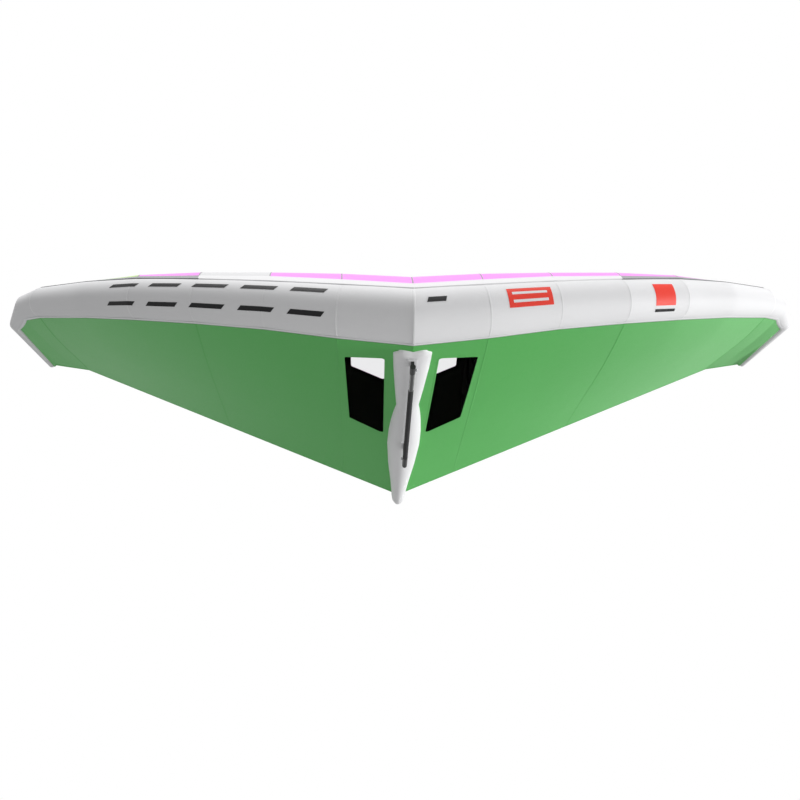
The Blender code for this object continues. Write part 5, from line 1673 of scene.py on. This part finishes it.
@dataclass(frozen=True)
class Boom:
    """The boom's foam grip and collars, and the finishes of its tube, plug, mounts and pins."""

    front: tuple[float, float, float] = (0.0, 0.100, -0.185)
    fall: float = math.asin(0.075 / 1.108)
    grip_from: float = 0.240
    grip_to: float = 0.984
    bore: float = 0.0108
    grip_radius: float = 0.0120
    grip_steps: int = 372
    rim: float = 0.0015
    groove: float = 0.00022
    groove_pitch: float = 0.012
    groove_clear: float = 0.006
    collar_gap: float = 0.0006
    collar_reach: float = 0.0050
    collar_radii: tuple[float, float] = (0.0114, 0.0118)
    sides: int = 48

    def ahead(self) -> Array:
        """The boom's direction."""
        return np.array([0.0, math.cos(self.fall), -math.sin(self.fall)])

    def away(self, points: Array) -> Array:
        """Directions away from the boom's axis."""
        apart = points - np.array(self.front)
        return apart - (apart @ self.ahead())[:, None] * self.ahead()

    def turned(self, along: Array, radius: Array) -> Shape:
        """A closed ring-shaped solid: the profile is turned round the axis and closes on itself.

        Args:
            along: Places of the profile along the boom.
            radius: Radii at those places, one row for each if they change round the boom.

        Returns:
            The shape.
        """
        along, radius, turn = np.broadcast_arrays(along[:, None], radius, circle(self.sides)[None, :])
        across = np.array([0.0, math.sin(self.fall), math.cos(self.fall)])
        rings = np.array(self.front) + self.ahead() * along[..., None] + radius[..., None] * (
            np.cos(turn)[..., None] * np.array([1.0, 0.0, 0.0]) + np.sin(turn)[..., None] * across)
        faces = [tuple(corner % along.size for corner in face)
                 for face in grid_faces(len(rings) + 1, self.sides, wrap=True)]
        cut = np.stack([along, turn * self.grip_radius], axis=-1).reshape(-1, 2)
        return Shape(rings.reshape(-1, 3), faces, cut, np.zeros(len(cut))).facing(self.away)

    def make_grip(self) -> None:
        """The foam grip, with fine crossing grooves that fade at its ends."""
        outer = np.linspace(self.grip_from + self.rim, self.grip_to - self.rim, self.grip_steps)
        ends = np.array([self.grip_from, self.grip_from, self.grip_from + 0.0004])
        stops = np.array([self.grip_to - 0.0004, self.grip_to, self.grip_to])
        along = np.concatenate([ends, outer, stops])
        turn = circle(self.sides)
        crossing = np.maximum(np.abs(np.sin(turn * 6 + along[:, None] / self.groove_pitch)),
                              np.abs(np.sin(turn * 6 - along[:, None] / self.groove_pitch)))
        depth = np.minimum(along - self.grip_from - self.groove_clear, self.grip_to - self.groove_clear - along)
        fade = np.clip(depth / self.groove_clear, 0, 1)
        radius = self.grip_radius - self.groove * (1 - crossing) * 3 * fade[:, None]
        shoulder = np.array([self.bore, self.grip_radius - 0.0005, self.grip_radius - 0.0002])
        radius[:3] = shoulder[:, None]
        radius[-3:] = shoulder[::-1, None]
        SHOP.piece("boom_grip_foam", self.turned(along, radius), Finish.BOOM_FOAM, stands_for="boom_grip")

    def make_collars(self) -> None:
        """Moulded rings at the grip's ends, shrunk on the tube."""
        low, high = self.collar_radii
        radius = np.array([self.bore, low, high, high, low, self.bore])[:, None]
        for word, first, last in (("front", self.grip_from - self.collar_reach, self.grip_from - self.collar_gap),
                                  ("rear", self.grip_to + self.collar_gap, self.grip_to + self.collar_reach)):
            along = np.array([first, first, first + 0.0006, last - 0.0006, last, last])
            SHOP.piece(f"boom_collar_{word}", self.turned(along, radius), Finish.COLLAR_PLASTIC)

    def make(self, nodes: Mapping[str, bpy.types.Object]) -> None:
        """Make the grip and finish the boom's own solids."""
        self.make_grip()
        self.make_collars()
        refinish(nodes, Finish.BOOM_METAL, "boom_tube")
        refinish(nodes, Finish.MOUNT_PLASTIC, "boom_end_plug", "front_mount", "rear_mount")
        refinish(nodes, Finish.PIN_STEEL, "front_release_pin", "rear_release_pin")


# Valve, zip and hose

@dataclass(frozen=True)
class Valve:
    """The welded patch round the inflation valve, and the finishes of its solids."""

    patch_radius: float = 0.031
    patch_half_width: float = 0.0055
    patch_height: float = 0.0006
    dent: float = 0.0017

    def make(self, nodes: Mapping[str, bpy.types.Object]) -> None:
        """Make the patch and finish the valve."""
        run = float(np.linalg.norm(CURVES.centres[2] - CURVES.centres[1]))
        radius = float(at_stations(VALVE_STATION, CURVES.radii))
        turn = circle(72)
        s = VALVE_STATION + self.patch_radius * np.cos(turn) / run
        degrees = VALVE_DEGREES + np.degrees(self.patch_radius * np.sin(turn) / radius)
        path = tube(s, degrees, self.patch_height - self.dent)
        away = unit(path - tube(s, degrees, -radius))
        band = ribbon(path, away, self.patch_half_width, self.patch_height, closed=True)
        SHOP.piece("valve_patch", band, Finish.VALVE_PATCH)
        refinish(nodes, Finish.VALVE_PLASTIC, "valve_body", "valve_cap")
        refinish(nodes, Finish.CHECK_RUBBER, "valve_check")


BEVELLED = ((-1, -1, 0), (1, -1, 0), (1, 1, 0), (-1, 1, 0), (-0.7, -0.8, 1), (0.7, -0.8, 1), (0.7, 0.8, 1),
            (-0.7, 0.8, 1))
BOX = ((3, 2, 1, 0), (4, 5, 6, 7), (0, 1, 5, 4), (1, 2, 6, 5), (2, 3, 7, 6), (3, 0, 4, 7))


@dataclass(frozen=True)
class Zip:
    """The zip that reaches the valve: woven tape, a row of moulded teeth and end stops."""

    first: float = 1.20
    last: float = 1.75
    chord: float = 0.19
    chord_reach: float = 0.014
    lift: float = 0.0010
    tape: float = 0.0004
    tape_grid: tuple[int, int] = (90, 15)
    teeth_share: float = 0.94
    tooth_pitch: float = 0.0036
    tooth_aside: float = 0.0008
    tooth: tuple[float, float, float] = (0.0011, 0.0018, 0.0006)
    stop_inset: float = 0.012
    stop: tuple[float, float, float] = (0.0022, 0.0034, 0.0007)

    def place(self, s: Array, t: Places, lift: float) -> Array:
        """Points over the upper skin."""
        return upper(s, t) + Face.UPPER.normals(s, t) * lift

    def blocks(self, along: Array, aside: Array, half: tuple[float, float, float]) -> Shape:
        """Small bevelled blocks at places along the zip, each from its sloped top down to the tape.

        Args:
            along: Shares of the zip's length.
            aside: Distances from its middle.
            half: A block's half length, half width and height.

        Returns:
            The blocks as one shape.
        """
        run = self.place(np.array([self.first, self.last]), self.chord, self.lift)
        forward = unit(run[1] - run[0])
        s = self.first + (self.last - self.first) * along
        centres, ups = self.place(s, self.chord, self.lift), Face.UPPER.normals(s, self.chord)
        sides = unit(np.cross(ups, forward))
        points = np.stack([centres + forward * half[0] * a + sides * (aside[:, None] + half[1] * b)
                           + ups * half[2] * c for a, b, c in BEVELLED], axis=1)
        faces = [tuple(number * len(BEVELLED) + corner for corner in face) for number in range(len(s)) for face in BOX]
        return Shape(points.reshape(-1, 3), faces)

    def make(self, nodes: Mapping[str, bpy.types.Object]) -> None:
        """Make tape, teeth and stops, and finish the slider."""
        s, t = np.meshgrid(np.linspace(self.first, self.last, self.tape_grid[0]),
                           self.chord + self.chord_reach * np.linspace(-1, 1, self.tape_grid[1]), indexing="ij")
        shape = grid_shape(self.place(s, t, self.lift)).facing(Face.UPPER.away)
        SHOP.piece("zip_tape_cloth", shape, Finish.ZIP_TAPE, stands_for="zip_tape", rests_on="canopy_second_right",
                   thickness=self.tape)
        ends = self.place(np.array([self.first, self.last]), self.chord, 0.0)
        count = int(float(np.linalg.norm(ends[0] - ends[1])) * self.teeth_share / self.tooth_pitch)
        aside = np.where(np.arange(count) % 2 == 0, self.tooth_aside, -self.tooth_aside)
        inset = (1 - self.teeth_share) / 2
        teeth = self.blocks(np.linspace(inset, 1 - inset, count), aside, self.tooth).facing(Face.UPPER.away)
        SHOP.piece("zip_teeth", teeth, Finish.ZIP_PLASTIC)
        stops = self.blocks(np.array([self.stop_inset, 1 - self.stop_inset]), np.zeros(2), self.stop)
        SHOP.piece("zip_stops", stops, Finish.ZIP_PLASTIC)
        refinish(nodes, Finish.ZIP_PLASTIC, "zip_slider")


@dataclass(frozen=True)
class Hose:
    """The hose from the tube's bladder to the strut's, and the collars at its ends."""

    x: float = 0.050
    bend: float = 0.072
    land_y: float = 0.240
    land_row: int = 4
    radius: float = 0.006
    wall: float = 0.0012
    steps: int = 60
    sides: int = 20

    def route(self) -> Array:
        """The hose's line: a Bezier curve from the back of the tube down to the strut."""
        ends = tube(np.array([0.0, 1.0]), 180.0)
        away = unit(np.cross(UP, ends[1] - ends[0]))
        start = ends[0] + (ends[1] - ends[0]) * self.x / CURVES.centres[1][0] + away * 0.0006
        _, width, over, _, level = STRUT.rows()[self.land_row]
        land = np.array([self.x / 2, self.land_y, 0.0])
        land[2] = level + over * math.sqrt(1 - (land[0] / width) ** 2) + self.wall
        t = np.linspace(0.0, 1.0, self.steps)[:, None]
        return ((1 - t) ** 3 * start + 3 * (1 - t) ** 2 * t * (start + away * self.bend)
                + 3 * (1 - t) * t ** 2 * (land + UP * self.bend) + t ** 3 * land)

    def make(self) -> None:
        """Make the hose and its collars."""
        route = self.route()
        hose = SHOP.piece("air_hose_tube", cord_shape(route, self.radius - 0.0001, self.sides), Finish.HOSE_FILM,
                          stands_for="air_hose")
        clips = [SHOP.piece(f"hose_clip_{word}", cord_shape(path, self.radius + self.wall, self.sides),
                            Finish.HOSE_CLIP_PLASTIC)
                 for word, path in (("front", route[2:5]), ("strut", route[-5:-2]))]
        for clip in clips:
            clip.data.set_sharp_from_angle(angle=math.radians(40.0))
        line = route + np.array(FORM.place)


# Camera, light and floor

@dataclass(frozen=True)
class View:
    """The photograph's point of view."""

    place: tuple[float, float, float] = (-0.272, -6.815, -2.3154)
    turn: float = math.radians(2.1)
    tilt: float = math.radians(21.0)
    roll: float = math.radians(-0.87)
    field_of_view: float = math.radians(30.0)
    sensor: float = 36.0

    def make(self) -> None:
        """Create the camera."""
        ahead = np.array([math.sin(self.turn) * math.cos(self.tilt), math.cos(self.turn) * math.cos(self.tilt),
                          math.sin(self.tilt)])
        level = np.array([math.cos(self.turn), -math.sin(self.turn), 0.0])
        above = np.cross(level, ahead)
        right = math.cos(self.roll) * level + math.sin(self.roll) * above
        up = math.cos(self.roll) * above - math.sin(self.roll) * level
        data = bpy.data.cameras.new("camera")
        data.sensor_width = self.sensor
        data.lens = self.sensor / 2 / math.tan(self.field_of_view / 2)
        data.clip_end = 100.0
        camera = add_object("camera", data)
        columns = np.stack([right, up, -ahead, np.array(self.place)], axis=-1)
        camera.matrix_world = Matrix([*columns.tolist(), [0, 0, 0, 1]])
        bpy.context.scene.camera = camera


@dataclass(frozen=True)
class Lamp:
    """A soft lamp: a square panel that shines from its place at the wing's middle, or a sun far off above it.

    Its size is a panel's side in metres, or the degrees that a sun spreads over.
    """

    name: str
    kind: str
    place: tuple[float, float, float]
    size: float
    power: float

    def make(self) -> None:
        """Create the lamp."""
        data = bpy.data.lights.new(self.name, self.kind)
        data.energy = self.power
        if self.kind == "AREA":
            data.size = self.size
        else:
            data.angle = math.radians(self.size)
        lamp = add_object(self.name, data)
        lamp.rotation_mode = "QUATERNION"
        lamp.rotation_quaternion = (-Vector(self.place)).to_track_quat("-Z", "Y")
        lamp.location = self.place


@dataclass(frozen=True)
class Studio:
    """Even light, two lamps and a pale floor far below, with a white background."""

    sky: float = 0.42
    lamps: tuple[Lamp, ...] = (Lamp("key", "AREA", (28.0, -4.2, -6.4), 5.0, 8400.0),
                               Lamp("top", "SUN", (0.0, -0.05, 1.0), 30.0, 2.6))
    floor_level: float = -8.0
    floor_reach: float = 60.0
    floor_steps: int = 9
    floor_seen: tuple[float, float, float] = (0.90, 0.90, 0.90)
    floor_lit: tuple[float, float, float] = (0.36, 0.36, 0.36)
    floor_blotch: tuple[float, float, float] = (0.84, 0.84, 0.85)

    def make_world(self) -> None:
        """Even light on surfaces, and white where the camera, gloss and film look past the floor."""
        world = bpy.data.worlds.new("studio")
        bpy.context.scene.world = world
        graph = Graph(world)
        graph.tree.nodes.clear()
        path, mix = graph.node("ShaderNodeLightPath"), graph.node("ShaderNodeMixShader")
        seen = path.outputs["Is Camera Ray"]
        for name in ("Is Glossy Ray", "Is Transmission Ray"):
            seen = graph.math("MAXIMUM", seen, path.outputs[name])
        graph.feed(mix.inputs[0], seen)
        for number, strength in enumerate((self.sky, 1.0)):
            background = graph.node("ShaderNodeBackground")
            graph.feed(background.inputs["Color"], (1.0, 1.0, 1.0))
            graph.feed(background.inputs["Strength"], strength)
            graph.feed(mix.inputs[number + 1], background.outputs[0])
        graph.feed(graph.node("ShaderNodeOutputWorld").inputs[0], mix.outputs[0])

    def make_floor(self) -> None:
        """A floor that looks pale and gives back less light than it shows."""
        material = bpy.data.materials.new("floor")
        graph = Graph(material)
        seen = graph.node("ShaderNodeLightPath").outputs["Is Camera Ray"]
        shade = graph.blend(graph.math("MULTIPLY", graph.noise(0.4, 2.0), 0.04),
                            graph.blend(seen, self.floor_lit, self.floor_seen), self.floor_blotch)
        graph.finish(shade, 0.9, Specular_IOR_Level=0.1)
        mesh = bpy.data.meshes.new("floor")
        steps = np.linspace(-self.floor_reach, self.floor_reach, self.floor_steps)
        x, y = np.meshgrid(steps, steps, indexing="ij")
        points = np.stack([x, y, np.full_like(x, self.floor_level)], axis=-1).reshape(-1, 3)
        mesh.from_pydata(points.tolist(), [], grid_faces(self.floor_steps, self.floor_steps))
        mesh.materials.append(material)
        add_object("floor", mesh)

    def make(self) -> None:
        """Create the light and the floor."""
        self.make_world()
        for lamp in self.lamps:
            lamp.make()
        self.make_floor()
        bpy.context.scene.view_settings.view_transform = "Standard"


def main() -> None:
    """Load the frame and dress it."""
    logging.basicConfig(level=logging.INFO, format="%(name)s: %(message)s")
    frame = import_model()
    View().make()
    for part, *given in ((Hose(),), (LeadingEdge(),), (Canopy(),), (RibSet(),), (Strut(),), (Boom(), frame["nodes"]),
                         (Valve(), frame["nodes"]), (Zip(), frame["nodes"])):
        before = len(SHOP.names)
        part.make(*given)
        LOG.info("%s: %s", type(part).__name__, ", ".join(SHOP.names[before:]))
    Studio().make()


if __name__ == "__main__":
    main()
